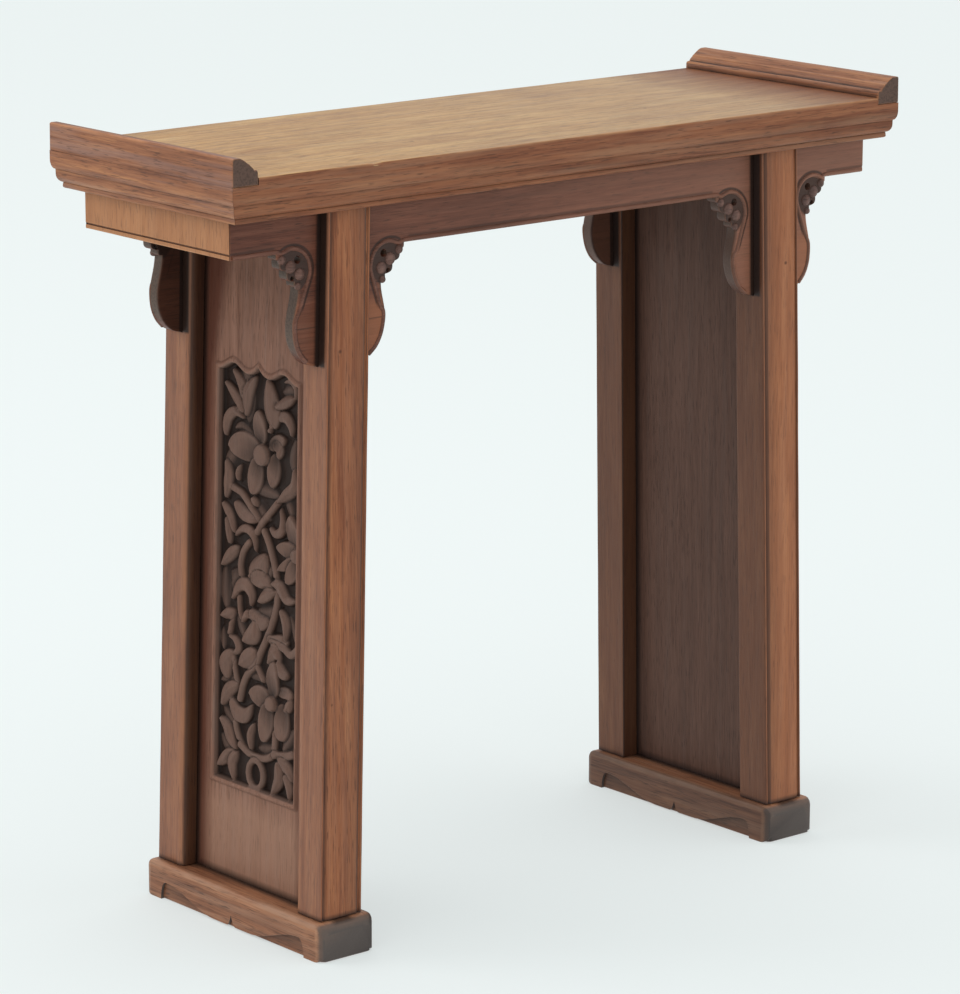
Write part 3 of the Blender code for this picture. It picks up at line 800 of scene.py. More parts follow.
# %% Posts
POST_BEAD = 1.0
POST_QUIRK = 1.2
POST_QUIRK_DEPTH = 0.6
POST_ARRIS = 0.7
PANEL_SIDE_ROUND = 2.8
POST_STATIONS = np.linspace(FOOT_HEIGHT + GAP, UNDERSIDE - GAP, 44)
# The quirk at the left corner of each post gets painted shade; the one at the right corner is left lighter.
SHADED_CORNER = 0.75
LIT_CORNER = 0.15
SLOT_OVERRUN = 5


# The corner's shade sets how dark the marks paint its quirk and bead.
def show_corner(corner_shade):
    """Bead and quirk at a show corner, as distances in from the side and in from the show face."""
    r = POST_BEAD / 2
    stop = POST_BEAD + POST_QUIRK
    bead = [(r * (1 - math.cos(a)), r * (1 - math.sin(a)), 0, 0.3 - 0.5 * corner_shade) for a in QUARTER]
    quirk = [(1.6 * r, 0.1, 0, -0.3 * corner_shade), (POST_BEAD, POST_QUIRK_DEPTH, 0, -corner_shade),
             (POST_BEAD + 0.4, POST_QUIRK_DEPTH, 0, -corner_shade), (stop - 0.2, 0.1, 0, -0.5 * corner_shade),
             (stop + 0.4, 0, 0, 0)]
    return [(0, 2.2, 0)] + bead + quirk


def post_section(end):
    """Section as distances in from the outer face and from the show face, the left corner's quirk painted
    darker as shade.
    """
    outer, inner = (SHADED_CORNER, LIT_CORNER) if end < 0 else (LIT_CORNER, SHADED_CORNER)
    near = PANEL_RECESS - GAP
    far = PANEL_RECESS + PANEL_THICKNESS + GAP
    floor = POST_DEPTH - PANEL_TONGUE - GAP
    show = show_corner(outer) + [(POST_WIDTH - u, *rest) for u, *rest in reversed(show_corner(inner))]
    groove = [(far, POST_DEPTH, 0.2), (far, floor, 0), (near, floor, 0), (near, POST_DEPTH, 0.2)]
    return eased(show + [(POST_WIDTH, POST_DEPTH, POST_ARRIS)] + groove + [(0, POST_DEPTH, PANEL_SIDE_ROUND)])


def post_ring(end, side, z):
    return [(end * (POST_OUTER - u + splay(z, SPLAY_LENGTHWISE)),
             side * (POST_FRONT - v + splay(z, SPLAY_ACROSS)), z, mark) for u, v, mark in post_section(end)]


def cut_away(obj, cutter):
    """Take one closed shape out of a board and leave the board a plain mesh."""
    cut = obj.modifiers.new("cut", "BOOLEAN")
    cut.operation = "DIFFERENCE"
    cut.solver = "EXACT"
    cut.object = cutter
    whole = obj.data
    obj.data = bpy.data.meshes.new_from_object(obj.evaluated_get(bpy.context.evaluated_depsgraph_get()))
    obj.modifiers.remove(cut)
    bpy.data.objects.remove(cutter, do_unlink=True)
    bpy.data.meshes.remove(whole)
    obj.data.set_sharp_from_angle(angle=SHARP_ANGLE)


def apron_slot(end, side):
    reach = POST_WIDTH + SPLAY_LENGTHWISE
    near, far = APRON_FACE + GAP, APRON_BACK - GAP
    low_x, high_x = POST_OUTER - reach, POST_OUTER + reach
    rings = []
    for z in (SPANDREL_BOTTOM - GAP, UNDERSIDE + SLOT_OVERRUN):
        corners = [(low_x, far), (high_x, far), (high_x, near), (low_x, near)]
        rings.append([(end * x, side * y, z, 0) for x, y in corners])
    return board("slot", loft(rings), post_wood)


for end_name, end in ENDS.items():
    for side_name, side in SIDES.items():
        post_mesh = loft([post_ring(end, side, z) for z in POST_STATIONS])
        planed_by_hand(post_mesh)
        shaft = board(f"{side_name}_{end_name}_post_shaft", post_mesh, post_wood)
        cut_away(shaft, apron_slot(end, side))
        stands_for(shaft, f"{side_name}_{end_name}_post")

# %% [markdown]
# ## Wood of the aprons
# The quirks outside the beads are not cut, because the board is thin and they are only a scratch deep. So they
# are dark lines painted on the wood, for their dirt and the shade inside them, placed by the sizes of the
# flower and its neck. Painted shadow darkens the apron under the top, and painted shade its corners and inner
# side. The ground of the flower is painted dark as the shade of a carved ground, the tails get painted light,
# and fine cracks cross those on the left.

# %% Wood of the aprons
FLOWER_MIDDLE = (11.2, 6.2)
FLOWER_RADIUS = 7.5
NECK_SLANT = 0.36
CRACK_DROPS = (11.5, 23.1)
QUIRK_RISE = 2.0


def past_post(at):
    """How far a point lies outward from the middle of the leaning post, less than 0 on its inner side."""
    return at.x - splay(at.z, SPLAY_LENGTHWISE) - POST_MIDDLE


def in_spandrel(at):
    """Reach from the post, drop below the apron's edge and distance from the middle of the flower."""
    away = past_post(at)
    reach = abs(away) - POST_WIDTH / 2
    drop = away.ramp(-1, 1, APRON_BOTTOM, END_APRON_BOTTOM) - at.z
    aside = reach - FLOWER_MIDDLE[0]
    below = drop - FLOWER_MIDDLE[1]
    return reach, drop, (aside * aside + below * below) ** 0.5


def quirk_line(at, height, start, stop):
    """Painted line of dirt and shade for an uncut quirk on the apron's face, just above its bead, between two
    distances from the middle.
    """
    return beside(at.z, height, 0.1, 0.6) * at.x.ramp(start, start + 1) * at.x.ramp(stop + 1, stop) * 0.45


def flower_lines(at):
    """Painted lines of dirt and shade for the uncut quirks outside the bead, over the flower and down its neck.
    """
    reach, drop, distance = in_spandrel(at)
    over = beside(distance, FLOWER_RADIUS + 1.1, 0.15, 0.5) * drop.ramp(11, 9) * reach.ramp(17, 15.5)
    slanted = reach - drop * NECK_SLANT
    down = beside(slanted, -0.15, 0.12, 0.5) * drop.ramp(8.5, 10) * drop.ramp(20, 18)
    return highest(over, down)


def apron_dirt_and_shade(at):
    """Dirt and painted shade beside the posts, a painted shadow under the top, the quirk lines, and painted
    shade all over the side that looks inward.
    """
    corner = beside(past_post(at), 0, POST_WIDTH / 2 + 0.7, 1.4) * 0.95
    shadow_under_top = at.z.ramp(APRON_TOP - 1.6, APRON_TOP - 0.4, 0, 0.7)
    between = quirk_line(at, APRON_BOTTOM + QUIRK_RISE, -1, 66)
    outside = quirk_line(at, END_APRON_BOTTOM + QUIRK_RISE, 120, APRON_END)
    flower = flower_lines(at) * at.square_y * 0.75
    return highest(corner, shadow_under_top, between, outside, at.inward_y * 0.62, flower)


def flower_ground_shade(at):
    """The ground between the petals is painted dark, as dull wood and the shade of a carved-out ground."""
    distance = in_spandrel(at)[2]
    return distance.ramp(FLOWER_RADIUS, FLOWER_RADIUS - 0.8) * at.square_y * 0.88


def grain_cracks(at):
    """Fine cracks along the grain cross the necks and tails of the left spandrels, seen on their outside."""
    lines = [beside(at.z, APRON_BOTTOM - drop, 0.06, 0.3) for drop in CRACK_DROPS]
    return highest(*lines) * at.outward_y * at.square_y * at.right.ramp(0.35, 0.3) * 0.5


def painted_tail_light(at):
    """The tails of the spandrels get painted light, so they are lighter than the rest of the apron,
    most of all to the right of a post, where the post casts no shade on them."""
    low = at.z.ramp(APRON_BOTTOM - 14, APRON_BOTTOM - 19)
    rightward = past_post(at) * at.right.ramp(0.4, 0.6, -1, 1)
    return at.square_y * low * rightward.ramp(-1, 1, 0.1, 0.5)


# On the apron the paler right is a painted sheen, and inner adds painted shade to its inward side.
apron_wood = wood("apron_wood", "length", [(79, 41, 29), (106, 60, 44), (132, 80, 60)],
                  worn=(160, 106, 78), end_tone=(92, 74, 63), bloom=(106, 72, 58), inner=0.55,
                  bloom_share=0.25,
                  washes=[((208, 152, 126), paler_right), ((170, 106, 70), painted_tail_light),
                          ((54, 38, 32), flower_ground_shade), (DIRT_AND_SHADE, grain_cracks), (DIRT_AND_SHADE, apron_dirt_and_shade)])

# %% [markdown]
# ## Long aprons
# Front and back have one thin board each, with four spandrels cut from the same plank. A spandrel starts with
# four lobes, draws in to a neck and swells to a tail that runs down the post. The outline is worked out from
# those few sizes and carried through the thickness of the board with softened edges. The pierced eyes are
# Boolean cuts.

# %% Long aprons
SPANDREL_REACH = 17.4
HEAD_DROP = 11.5
NECK_WIDTH = 8.2
TAIL_WIDTH = 10.1
TAIL_TIP_HEIGHT = 13.0
LOBE_ENDS = (0, 0.18, 0.5, 0.82, 1)
LOBE_BULGE = 4.6
LOBE_STEPS = 9
TAIL_STEPS = 14
BOARD_EDGE = ((0, 0.95, 0), (0, 0.4, 0.6), (0.12, 0.12, 0.9), (0.4, 0, 0.5), (0.9, 0, 0))
EYES = ((8.9, 2.5, 1.3), (10.9, 8.3, 0.8))
EYE_SIDES = 20
EYE_OVERRUN = 2


def on_slant(t, outward):
    """Place on the slanting head of a spandrel, as reach from the post and drop below the apron."""
    run = SPANDREL_REACH - NECK_WIDTH
    slant = math.hypot(run, HEAD_DROP)
    return SPANDREL_REACH - run * t + outward * HEAD_DROP / slant, HEAD_DROP * t + outward * run / slant


def spandrel_edge(drop):
    """Spandrel outline as reach from the post and drop below the apron, from the head round to the tip."""
    points = []
    for start, stop in zip(LOBE_ENDS, LOBE_ENDS[1:]):
        for t in np.arange(LOBE_STEPS) / LOBE_STEPS:
            bulge = LOBE_BULGE * (stop - start) * math.sin(math.pi * t)
            points.append(on_slant(start + (stop - start) * t, bulge))
    belly = drop - TAIL_TIP_HEIGHT
    for t in np.arange(TAIL_STEPS) / TAIL_STEPS:
        swell = (1 - math.cos(math.pi * t)) / 2
        points.append((NECK_WIDTH + (TAIL_WIDTH - NECK_WIDTH) * swell, HEAD_DROP + (belly - HEAD_DROP) * t))
    for t in np.arange(TAIL_STEPS + 1) / TAIL_STEPS:
        turn = math.pi / 2 * t
        points.append((TAIL_WIDTH * math.cos(turn), belly + TAIL_TIP_HEIGHT * math.sin(turn)))
    return points


def apron_level(inner):
    return APRON_BOTTOM if inner else END_APRON_BOTTOM


def beside_post(reach, drop, inner):
    """Place of a spandrel's point on the right-hand half of the apron, as (x, z)."""
    z = apron_level(inner) - drop
    face = POST_OUTER + splay(z, SPLAY_LENGTHWISE) - (POST_WIDTH if inner else 0)
    return (face - reach, z) if inner else (face + reach, z)


def apron_outline():
    outer, inner = ([beside_post(u, v, which) for u, v in spandrel_edge(apron_level(which) - SPANDREL_BOTTOM)]
                    for which in (False, True))
    lower = [(APRON_END, END_APRON_BOTTOM)] + outer + inner[::-1]
    upper = [(-APRON_END, APRON_TOP), (APRON_END, APRON_TOP)]
    return [(x, z, 0) for x, z in upper + lower + [(-x, z) for x, z in reversed(lower)]]


def apron_ring(side, depth, draw, mark):
    """Outline of the board at one depth from its face, with its ends cut back for the mitre."""
    ring = []
    for (x, z, _), (at_x, _, _) in zip(drawn_in(apron_outline(), draw), apron_outline()):
        mitre = depth if abs(at_x) == APRON_END else 0
        ring.append((x - math.copysign(mitre, x), side * (APRON_FACE - depth), z, mark))
    return ring


def eye_cutter(side, end, inner, reach, drop, radius):
    x, z = beside_post(reach, drop, inner)
    rings = []
    for y in (APRON_FACE + EYE_OVERRUN, APRON_BACK - EYE_OVERRUN):
        rings.append([(end * x + radius * math.cos(a), side * y, z + radius * math.sin(a), 0)
                      for a in np.linspace(0, 2 * math.pi, EYE_SIDES, endpoint=False)])
    return board("eye", loft(rings), apron_wood)


for side_name, side in SIDES.items():
    thickness = APRON_FACE - APRON_BACK
    layers = list(BOARD_EDGE)
    layers += [(thickness - depth, draw, mark) for depth, draw, mark in reversed(BOARD_EDGE)]
    apron_mesh = loft([apron_ring(side, *layer) for layer in layers])
    apron = board(f"{side_name}_apron_board", apron_mesh, apron_wood)
    for end in ENDS.values():
        for inner in (False, True):
            for hole in EYES:
                cut_away(apron, eye_cutter(side, end, inner, *hole))
    stands_for(apron, f"{side_name}_apron")

# %% [markdown]
# ## Beading and buds
# A bead runs along the lower edge of each apron, curls round the eye of the spandrel and ends as a rim along
# the tail. Geometry Nodes suit this: a plain path goes in, Curve to Mesh sweeps a round along it, and the
# same tree serves every bead. The buds, which are the petals of a small flower on the lobes, are one dome
# that a second tree places on points.

# %% Trees for beads and buds
def new_tree(name, inputs):
    tree = bpy.data.node_groups.new(name, "GeometryNodeTree")
    tree.interface.new_socket("Geometry", in_out="INPUT", socket_type="NodeSocketGeometry")
    for label, kind in inputs:
        tree.interface.new_socket(label, in_out="INPUT", socket_type=kind)
    tree.interface.new_socket("Geometry", in_out="OUTPUT", socket_type="NodeSocketGeometry")
    return tree, tree.nodes.new("NodeGroupInput"), tree.nodes.new("NodeGroupOutput")


def close_tree(tree, source, entry, leaving):
    """Realize, give the wood and hand the geometry out."""
    real = add_node(tree, "GeometryNodeRealizeInstances", {"Geometry": source})
    dressed = add_node(tree, "GeometryNodeSetMaterial",
                       {"Geometry": real.outputs[0], "Material": entry.outputs["Wood"]})
    tree.links.new(dressed.outputs[0], leaving.inputs[0])
    return tree


def bead_tree():
    inputs = [("Bead Radius", "NodeSocketFloat"), ("Sides", "NodeSocketInt"), ("Wood", "NodeSocketMaterial")]
    tree, entry, leaving = new_tree("bead_along_path", inputs)
    path = add_node(tree, "GeometryNodeMeshToCurve", {0: entry.outputs["Geometry"]})
    section = add_node(tree, "GeometryNodeCurvePrimitiveCircle",
                       {"Radius": entry.outputs["Bead Radius"], "Resolution": entry.outputs["Sides"]})
    swept = add_node(tree, "GeometryNodeCurveToMesh",
                     {"Curve": path.outputs[0], "Profile Curve": section.outputs[0], "Fill Caps": True})
    return close_tree(tree, swept.outputs[0], entry, leaving)


def bud_tree():
    inputs = [("Bud Radius", "NodeSocketFloat"), ("Wood", "NodeSocketMaterial")]
    tree, entry, leaving = new_tree("buds_on_points", inputs)
    ball = add_node(tree, "GeometryNodeMeshUVSphere",
                    {"Segments": 16, "Rings": 10, "Radius": entry.outputs["Bud Radius"]})
    size = add_node(tree, "GeometryNodeInputNamedAttribute", {"Name": "size"}, data_type="FLOAT_VECTOR")
    placed = add_node(tree, "GeometryNodeInstanceOnPoints",
                      {"Points": entry.outputs["Geometry"], "Instance": ball.outputs[0],
                       "Scale": size.outputs[0]})
    return close_tree(tree, placed.outputs[0], entry, leaving)


def grown(name, start_mesh, tree, values):
    """Run a tree over a start mesh and keep the result as a plain smooth mesh."""
    obj = bpy.data.objects.new(name, start_mesh)
    bpy.context.collection.objects.link(obj)
    growth = obj.modifiers.new("growth", "NODES")
    growth.node_group = tree
    for item in tree.interface.items_tree:
        if item.in_out == "INPUT" and item.name in values:
            growth[item.identifier] = values[item.name]
    obj.data = bpy.data.meshes.new_from_object(obj.evaluated_get(bpy.context.evaluated_depsgraph_get()))
    obj.modifiers.remove(growth)
    bpy.data.meshes.remove(start_mesh)
    outward = bmesh.new()
    outward.from_mesh(obj.data)
    bmesh.ops.recalc_face_normals(outward, faces=outward.faces)
    outward.to_mesh(obj.data)
    outward.free()
    obj.data.shade_smooth()
    return obj

# %% [markdown]
# ### Where the beads and buds go
# A bead's path comes from the outline of the spandrel, so that it stays on the edge when a size changes. It
# could be drawn by hand as a curve, but four spandrels on two boards would need eight. The buds are a short
# list of places beside the post, each with its own width.

# %% Beading and buds
APRON_BEAD = 0.85
BEAD_SIDES = 10
BEAD_SINK = 0.35
BEAD_CORNER = 1.0
SCROLL_START = [(27, -0.85), (20, -0.9), (17, -0.8)]
SCROLL_ARCH = [(FLOWER_MIDDLE[0] + FLOWER_RADIUS * math.cos(math.radians(a)),
                FLOWER_MIDDLE[1] - FLOWER_RADIUS * math.sin(math.radians(a)))
               for a in (58, 90, 120, 150, 180, 200)]
SCROLL_NECK = [(5.7, 13.2), (7.0, 17.0), (8.0, 19.5)]
BUDS = ((15.2, 2.0, 1.5), (11.6, 4.6, 2.1), (8.0, 7.2, 2.0), (8.6, 11.0, 1.2))
BUD_RISE = 1.0
BUD_SINK = 0.1
RIM_INSET = 0.75
RIM_START = 21
RIM_STOP = 0.4
RIM_SPACING = 3
bead_wood = wood("bead_wood", "length", [(82, 49, 38), (112, 71, 57), (136, 90, 73)],
                 worn=(154, 106, 80), end_tone=(120, 78, 58), bloom=(124, 90, 78), inner=0.4,
                 washes=[((190, 132, 102), paler_right)])
bud_wood = wood("bud_wood", "length", [(84, 57, 48), (112, 80, 70), (136, 102, 90)],
                worn=(160, 126, 112), end_tone=(122, 92, 84), bloom=(120, 100, 96), inner=0.3)


def smooth_through(points, steps=7):
    """Smooth open curve through the points, evenly stepped between them."""
    ends = [points[0]] + list(points) + [points[-1]]
    spots = np.array(ends, dtype=float)
    curve = []
    for i in range(1, len(spots) - 2):
        a, b, c, d = spots[i - 1:i + 3]
        for t in np.linspace(0, 1, steps, endpoint=False):
            curve.append(b + 0.5 * t * (c - a + t * (2 * a - 5 * b + 4 * c - d + t * (3 * (b - c) + d - a))))
    return [tuple(spot) for spot in curve] + [tuple(spots[-1])]


def scroll_path(inner):
    """Bead path from the apron's edge, round the eye and along the tail to its tip, as (x, z)."""
    drop = apron_level(inner) - SPANDREL_BOTTOM
    tail = [(u - RIM_INSET, v) for u, v in spandrel_edge(drop)[LOBE_STEPS * (len(LOBE_ENDS) - 1):]]
    rim = [(u, v) for u, v in tail if RIM_START < v < drop - RIM_STOP and u > RIM_STOP][::RIM_SPACING]
    path = smooth_through(SCROLL_START + SCROLL_ARCH + SCROLL_NECK + rim)
    return [beside_post(u, v, inner) for u, v in path]


def path_mesh(paths, y):
    """Mesh of loose edges along the paths, in metres."""
    corners, edges = [], []
    for path in paths:
        first = len(corners)
        corners += [(x * MM, y * MM, z * MM) for x, z in path]
        edges += [(i, i + 1) for i in range(first, len(corners) - 1)]
    mesh = bpy.data.meshes.new("path")
    mesh.from_pydata(corners, edges, [])
    return mesh


def bud_points(side):
    """Mesh of loose points in the lobes and under the eyes, each with its own size."""
    buds = []
    for end in ENDS.values():
        for inner in (False, True):
            for reach, drop, radius in BUDS:
                x, z = beside_post(reach, drop, inner)
                buds.append((end * x, z, radius))
    start = bpy.data.meshes.new("bud_points")
    start.from_pydata([(x * MM, side * (APRON_FACE - BUD_SINK) * MM, z * MM) for x, z, _ in buds], [], [])
    size = start.attributes.new("size", "FLOAT_VECTOR", "POINT")
    size.data.foreach_set("vector", [c for _, _, radius in buds for c in (radius, BUD_RISE, radius)])
    return start


bead_growth = bead_tree()
bud_growth = bud_tree()
for side_name, side in SIDES.items():
    inner_right, outer_right = scroll_path(True), scroll_path(False)
    inner_left = [(-x, z) for x, z in reversed(inner_right)]
    corner = (APRON_END - BEAD_CORNER, END_APRON_BOTTOM + APRON_BEAD)
    paths = [inner_left + inner_right, [corner] + outer_right, [(-x, z) for x, z in [corner] + outer_right]]
    bead_start = path_mesh(paths, side * (APRON_FACE - BEAD_SINK))
    beading = grown(f"{side_name}_apron_beading", bead_start, bead_growth,
                    {"Bead Radius": APRON_BEAD * MM, "Sides": BEAD_SIDES, "Wood": bead_wood})
    domes = grown(f"{side_name}_spandrel_buds", bud_points(side), bud_growth,
                  {"Bud Radius": MM, "Wood": bud_wood})
    for piece in (beading, domes):
        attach(piece, "root")
    print(beading.name, len(beading.data.polygons), "faces;", domes.name, len(domes.data.polygons), "faces")

# %% [markdown]
# ## End aprons
# The short aprons close the top at its ends and meet the long ones in mitres. Each is plain apart from one
# scratched quirk above its lower edge, so a single section lofted front to back is enough.

# %% End aprons
END_APRON_STATIONS = 24
QUIRK_HEIGHT = 1.7
QUIRK_DEPTH = 0.5
end_apron_wood = wood("end_apron_wood", "height", [(167, 111, 73), (178, 121, 80), (187, 130, 88)],
                      worn=(210, 152, 106), end_tone=(96, 66, 52), bloom=(176, 130, 98), inner=0.2,
                      bloom_share=0.2, dust_and_shade=(84, 50, 34))


def end_apron_section():
    """Depth from the face, height and mark."""
    thickness = APRON_FACE - APRON_BACK
    quirk = END_APRON_BOTTOM + QUIRK_HEIGHT
    outline = [(thickness, APRON_TOP, 0.2), (0, APRON_TOP, 0.2), (0, quirk + 1.0, 0, 0),
               (0, quirk + 0.3, 0, 0.3), (QUIRK_DEPTH, quirk + 0.1, 0, -0.7),
               (QUIRK_DEPTH, quirk - 0.1, 0, -0.7), (0.05, quirk - 0.3, 0, 0.4),
               (0, END_APRON_BOTTOM, 0.45), (thickness, END_APRON_BOTTOM, 0.3)]
    return eased(outline, guard=0.3)


for end_name, end in ENDS.items():
    section = end_apron_section()
    rings = []
    for t in np.linspace(-1, 1, END_APRON_STATIONS):
        rings.append([(end * (APRON_END - depth), t * (APRON_FACE - depth - MITRE_GAP), z, mark)
                      for depth, z, mark in section])
    end_apron_mesh = loft(rings)
    planed_by_hand(end_apron_mesh)
    end_apron = board(f"{end_name}_end_apron_board", end_apron_mesh, end_apron_wood)
    stands_for(end_apron, f"{end_name}_end_apron")

# %% [markdown]
# ## Wood of the feet
# The feet are the most worn boards. Their ends, and the rounds above them, show grey end grain, and their
# tops are darkened along the panel that stands on them, by dust and by painted shade. The first follows the way
# that a face looks and the second a distance, so nothing has to be painted on the mesh.

# %% Wood of the feet
def foot_end(at):
    return abs(at.facing[1]).ramp(0.3, 0.6, 0, 0.8)


def foot_dirt_and_shade(at):
    panel_middle = POST_OUTER - PANEL_RECESS - PANEL_THICKNESS / 2 + SPLAY_LENGTHWISE
    return beside(at.x, panel_middle, PANEL_THICKNESS / 2) * at.facing[2].ramp(0.6, 0.9) * 0.8


foot_wood = wood("foot_wood", "depth", [(98, 58, 40), (152, 101, 72), (182, 127, 93)],
                 worn=(190, 148, 120), end_tone=(88, 78, 74), bloom=(158, 126, 106), inner=0.6,
                 washes=[((88, 79, 75), foot_end), (DIRT_AND_SHADE, foot_dirt_and_shade)])

# %% [markdown]
# ## Sledge feet
# A foot is a bar under each pair of posts. A bracket line is sawn a millimetre deep into both of its sides,
# so that it seems to stand on two pads: a notch, a long ogee and a cusp in the middle. The outline could be
# carried across the bar, but the cut is blind and the ends are rounded, so sections are lofted along it.

# %% Feet
FOOT_END_ROUND = 3.2
END_CORNER = 2.0
SOLE_ROUND = 2.0
FOOT_CHAMFER = 1.4
PAD_LENGTH = 8.6
NOTCH_HEIGHT = 6.3
NOTCH_WIDTH = 2.6
LOBE_LENGTH = 9.5
LOBE_CLEARANCE = 0.5
CUSP_HEIGHT = 4.2
CUSP_WIDTH = 2.2
CUSP_STATIONS = [6, 3.5, 2.2, 1.65, 1.1, 0.55]
OGEE_STATIONS = 14
BRACKET_DEPTH = 1.0
SOLE_CLEARANCE = 0.3
TOP_GUARD = 3.4
SIDE_GUARD = 2.2
WELD = 0.002
PAD = FOOT_HALF - PAD_LENGTH
NOTCH = PAD - NOTCH_WIDTH


def bracket_level(y):
    """Height of the bracket line at a distance from the middle of the foot."""
    if y >= PAD:
        return 0
    if y >= NOTCH:
        return NOTCH_HEIGHT * math.sqrt(1 - ((y - NOTCH) / NOTCH_WIDTH) ** 2)
    if y >= LOBE_LENGTH:
        fall = (1 + math.cos(math.pi * (NOTCH - y) / (NOTCH - LOBE_LENGTH))) / 2
        return LOBE_CLEARANCE + (NOTCH_HEIGHT - LOBE_CLEARANCE) * fall
    return LOBE_CLEARANCE + (CUSP_HEIGHT - LOBE_CLEARANCE) * max(0, 1 - y / CUSP_WIDTH) ** 2


def foot_stations():
    """Places along the foot, close together where its outline bends."""
    half = [FOOT_HALF - FOOT_END_ROUND * (1 - math.sin(a)) for a in reversed(QUARTER)] + [PAD + 0.4]
    half += [NOTCH + NOTCH_WIDTH * math.cos(a) for a in QUARTER]
    half += list(np.linspace(NOTCH, LOBE_LENGTH, OGEE_STATIONS))[1:] + CUSP_STATIONS
    return half + [0] + [-y for y in reversed(half)]


def foot_ring(middle, half_width, y):
    """Section of the foot at one place along it, with rounded ends."""
    bend = max(0, 1 - (FOOT_HALF - abs(y)) / FOOT_END_ROUND)
    drawn = 1 - math.sqrt(1 - bend ** 2)
    top = FOOT_HEIGHT - FOOT_END_ROUND * drawn
    side = half_width - END_CORNER * drawn
    under = max(bracket_level(abs(y)), SOLE_ROUND * drawn)
    wall = side - BRACKET_DEPTH
    end_mark = 0.6 if 0.3 < bend < 1 else 0
    half = [(side - TOP_GUARD, top, end_mark)]
    half += [(side - FOOT_CHAMFER * (1 - math.sin(a)), top - FOOT_CHAMFER * (1 - math.cos(a)), 0.7)
             for a in QUARTER]
    half += [(side, top - SIDE_GUARD, end_mark), (side, under + 0.5, end_mark), (side, under + 0.12, 0.3),
             (side - 0.12, under, 0)]
    half += [(wall, under, -0.6), (wall, min(under, SOLE_CLEARANCE), -0.1)]
    mirrored = [(-x, z, mark) for x, z, mark in reversed(half)]
    return [(middle + x, y, z, mark) for x, z, mark in half + mirrored]


for end_name, end in ENDS.items():
    foot_low, foot_high = node_box(f"{end_name}_foot")
    middle = (foot_low[0] + foot_high[0]) / 2
    half_width = (foot_high[0] - foot_low[0]) / 2
    foot_mesh = loft([foot_ring(middle, half_width, y) for y in foot_stations()])
    bmesh.ops.remove_doubles(foot_mesh, verts=foot_mesh.verts, dist=WELD)
    stands_for(board(f"{end_name}_foot_rail", foot_mesh, foot_wood), f"{end_name}_foot")

# %% [markdown]
# ## Carving the end panels
# Each end is closed by a thin panel with a sunk cartouche of scrolling flowers. The carving is a low relief,
# so its whole face is one fine grid of heights: the ground is sunk first, and then each stem, leaf and petal
# is laid over it, with a small groove cut round it, as a carver sets in a shape before rounding it. Leaves
# have a ridge and lean a little to one side of it, which leaves the facets of a knife.

# %% The grid and the sunk ground
CARTOUCHE_HALF = 20.7
CARTOUCHE_TOP = 184.9
CARTOUCHE_BOTTOM = 46.1
LOBE_RISE = 2.7
SHOULDER_RISE = 0.2
HEAD_CUSP_WIDTH = 5.5
HEAD_CUSP_RISE = 3.0
BORDER_WIDTH = 1.9
BORDER_RISE = 0.7
GROUND = -2.4
WALL = 0.55
FINE = 0.29
COARSE_ACROSS = 2.5
COARSE_UPRIGHT = 4
HEAD_ROOM = 4.4
FINE_MARGIN = BORDER_WIDTH + 0.6
PANEL_EDGE = POST_BACK + PANEL_TONGUE
PANEL_BOTTOM = FOOT_HEIGHT + GAP
PANEL_TOP = UNDERSIDE - GAP


def grid_lines(low, fine_low, fine_high, high, coarse):
    """Grid lines that are fine over the carving and coarse outside it."""
    before = np.linspace(low, fine_low, max(2, round((fine_low - low) / coarse)), endpoint=False)
    middle = np.arange(fine_low, fine_high, FINE)
    after = np.linspace(fine_high, high, max(2, round((high - fine_high) / coarse)))
    return np.concatenate([before, middle, after])


def head_height(y):
    """Height of the cartouche's bracket-shaped head at a distance from the middle."""
    shoulder = CARTOUCHE_HALF - HEAD_CUSP_WIDTH
    t = np.clip((CARTOUCHE_HALF - np.abs(y)) / shoulder, 0, 1)
    cusp = np.clip(1 - np.abs(y) / HEAD_CUSP_WIDTH, 0, 1)
    return CARTOUCHE_TOP + LOBE_RISE * np.sin(np.pi * t) ** 2 + SHOULDER_RISE * t + HEAD_CUSP_RISE * cusp ** 2


fine_half = CARTOUCHE_HALF + FINE_MARGIN
across = grid_lines(-PANEL_EDGE, -fine_half, fine_half, PANEL_EDGE, COARSE_ACROSS)
upright = grid_lines(PANEL_BOTTOM, CARTOUCHE_BOTTOM - FINE_MARGIN,
                     CARTOUCHE_TOP + FINE_MARGIN + HEAD_ROOM, PANEL_TOP, COARSE_UPRIGHT)
Y, Z = np.meshgrid(across, upright)
inside = np.minimum(np.minimum(CARTOUCHE_HALF - np.abs(Y), Z - CARTOUCHE_BOTTOM), head_height(Y) - Z)
relief = np.full(Y.shape, GROUND)
print("carving grid", Y.shape)

# %% [markdown]
# ### One motif at a time
# A stem, leaf or petal is a line with a width. Each point of the grid looks for its nearest place on that
# line, and its share of the half width there gives its height: domed for a stem, ridged for a leaf, dished
# for a petal. Sculpting would give the same forms, but here a motif is one short row of places.

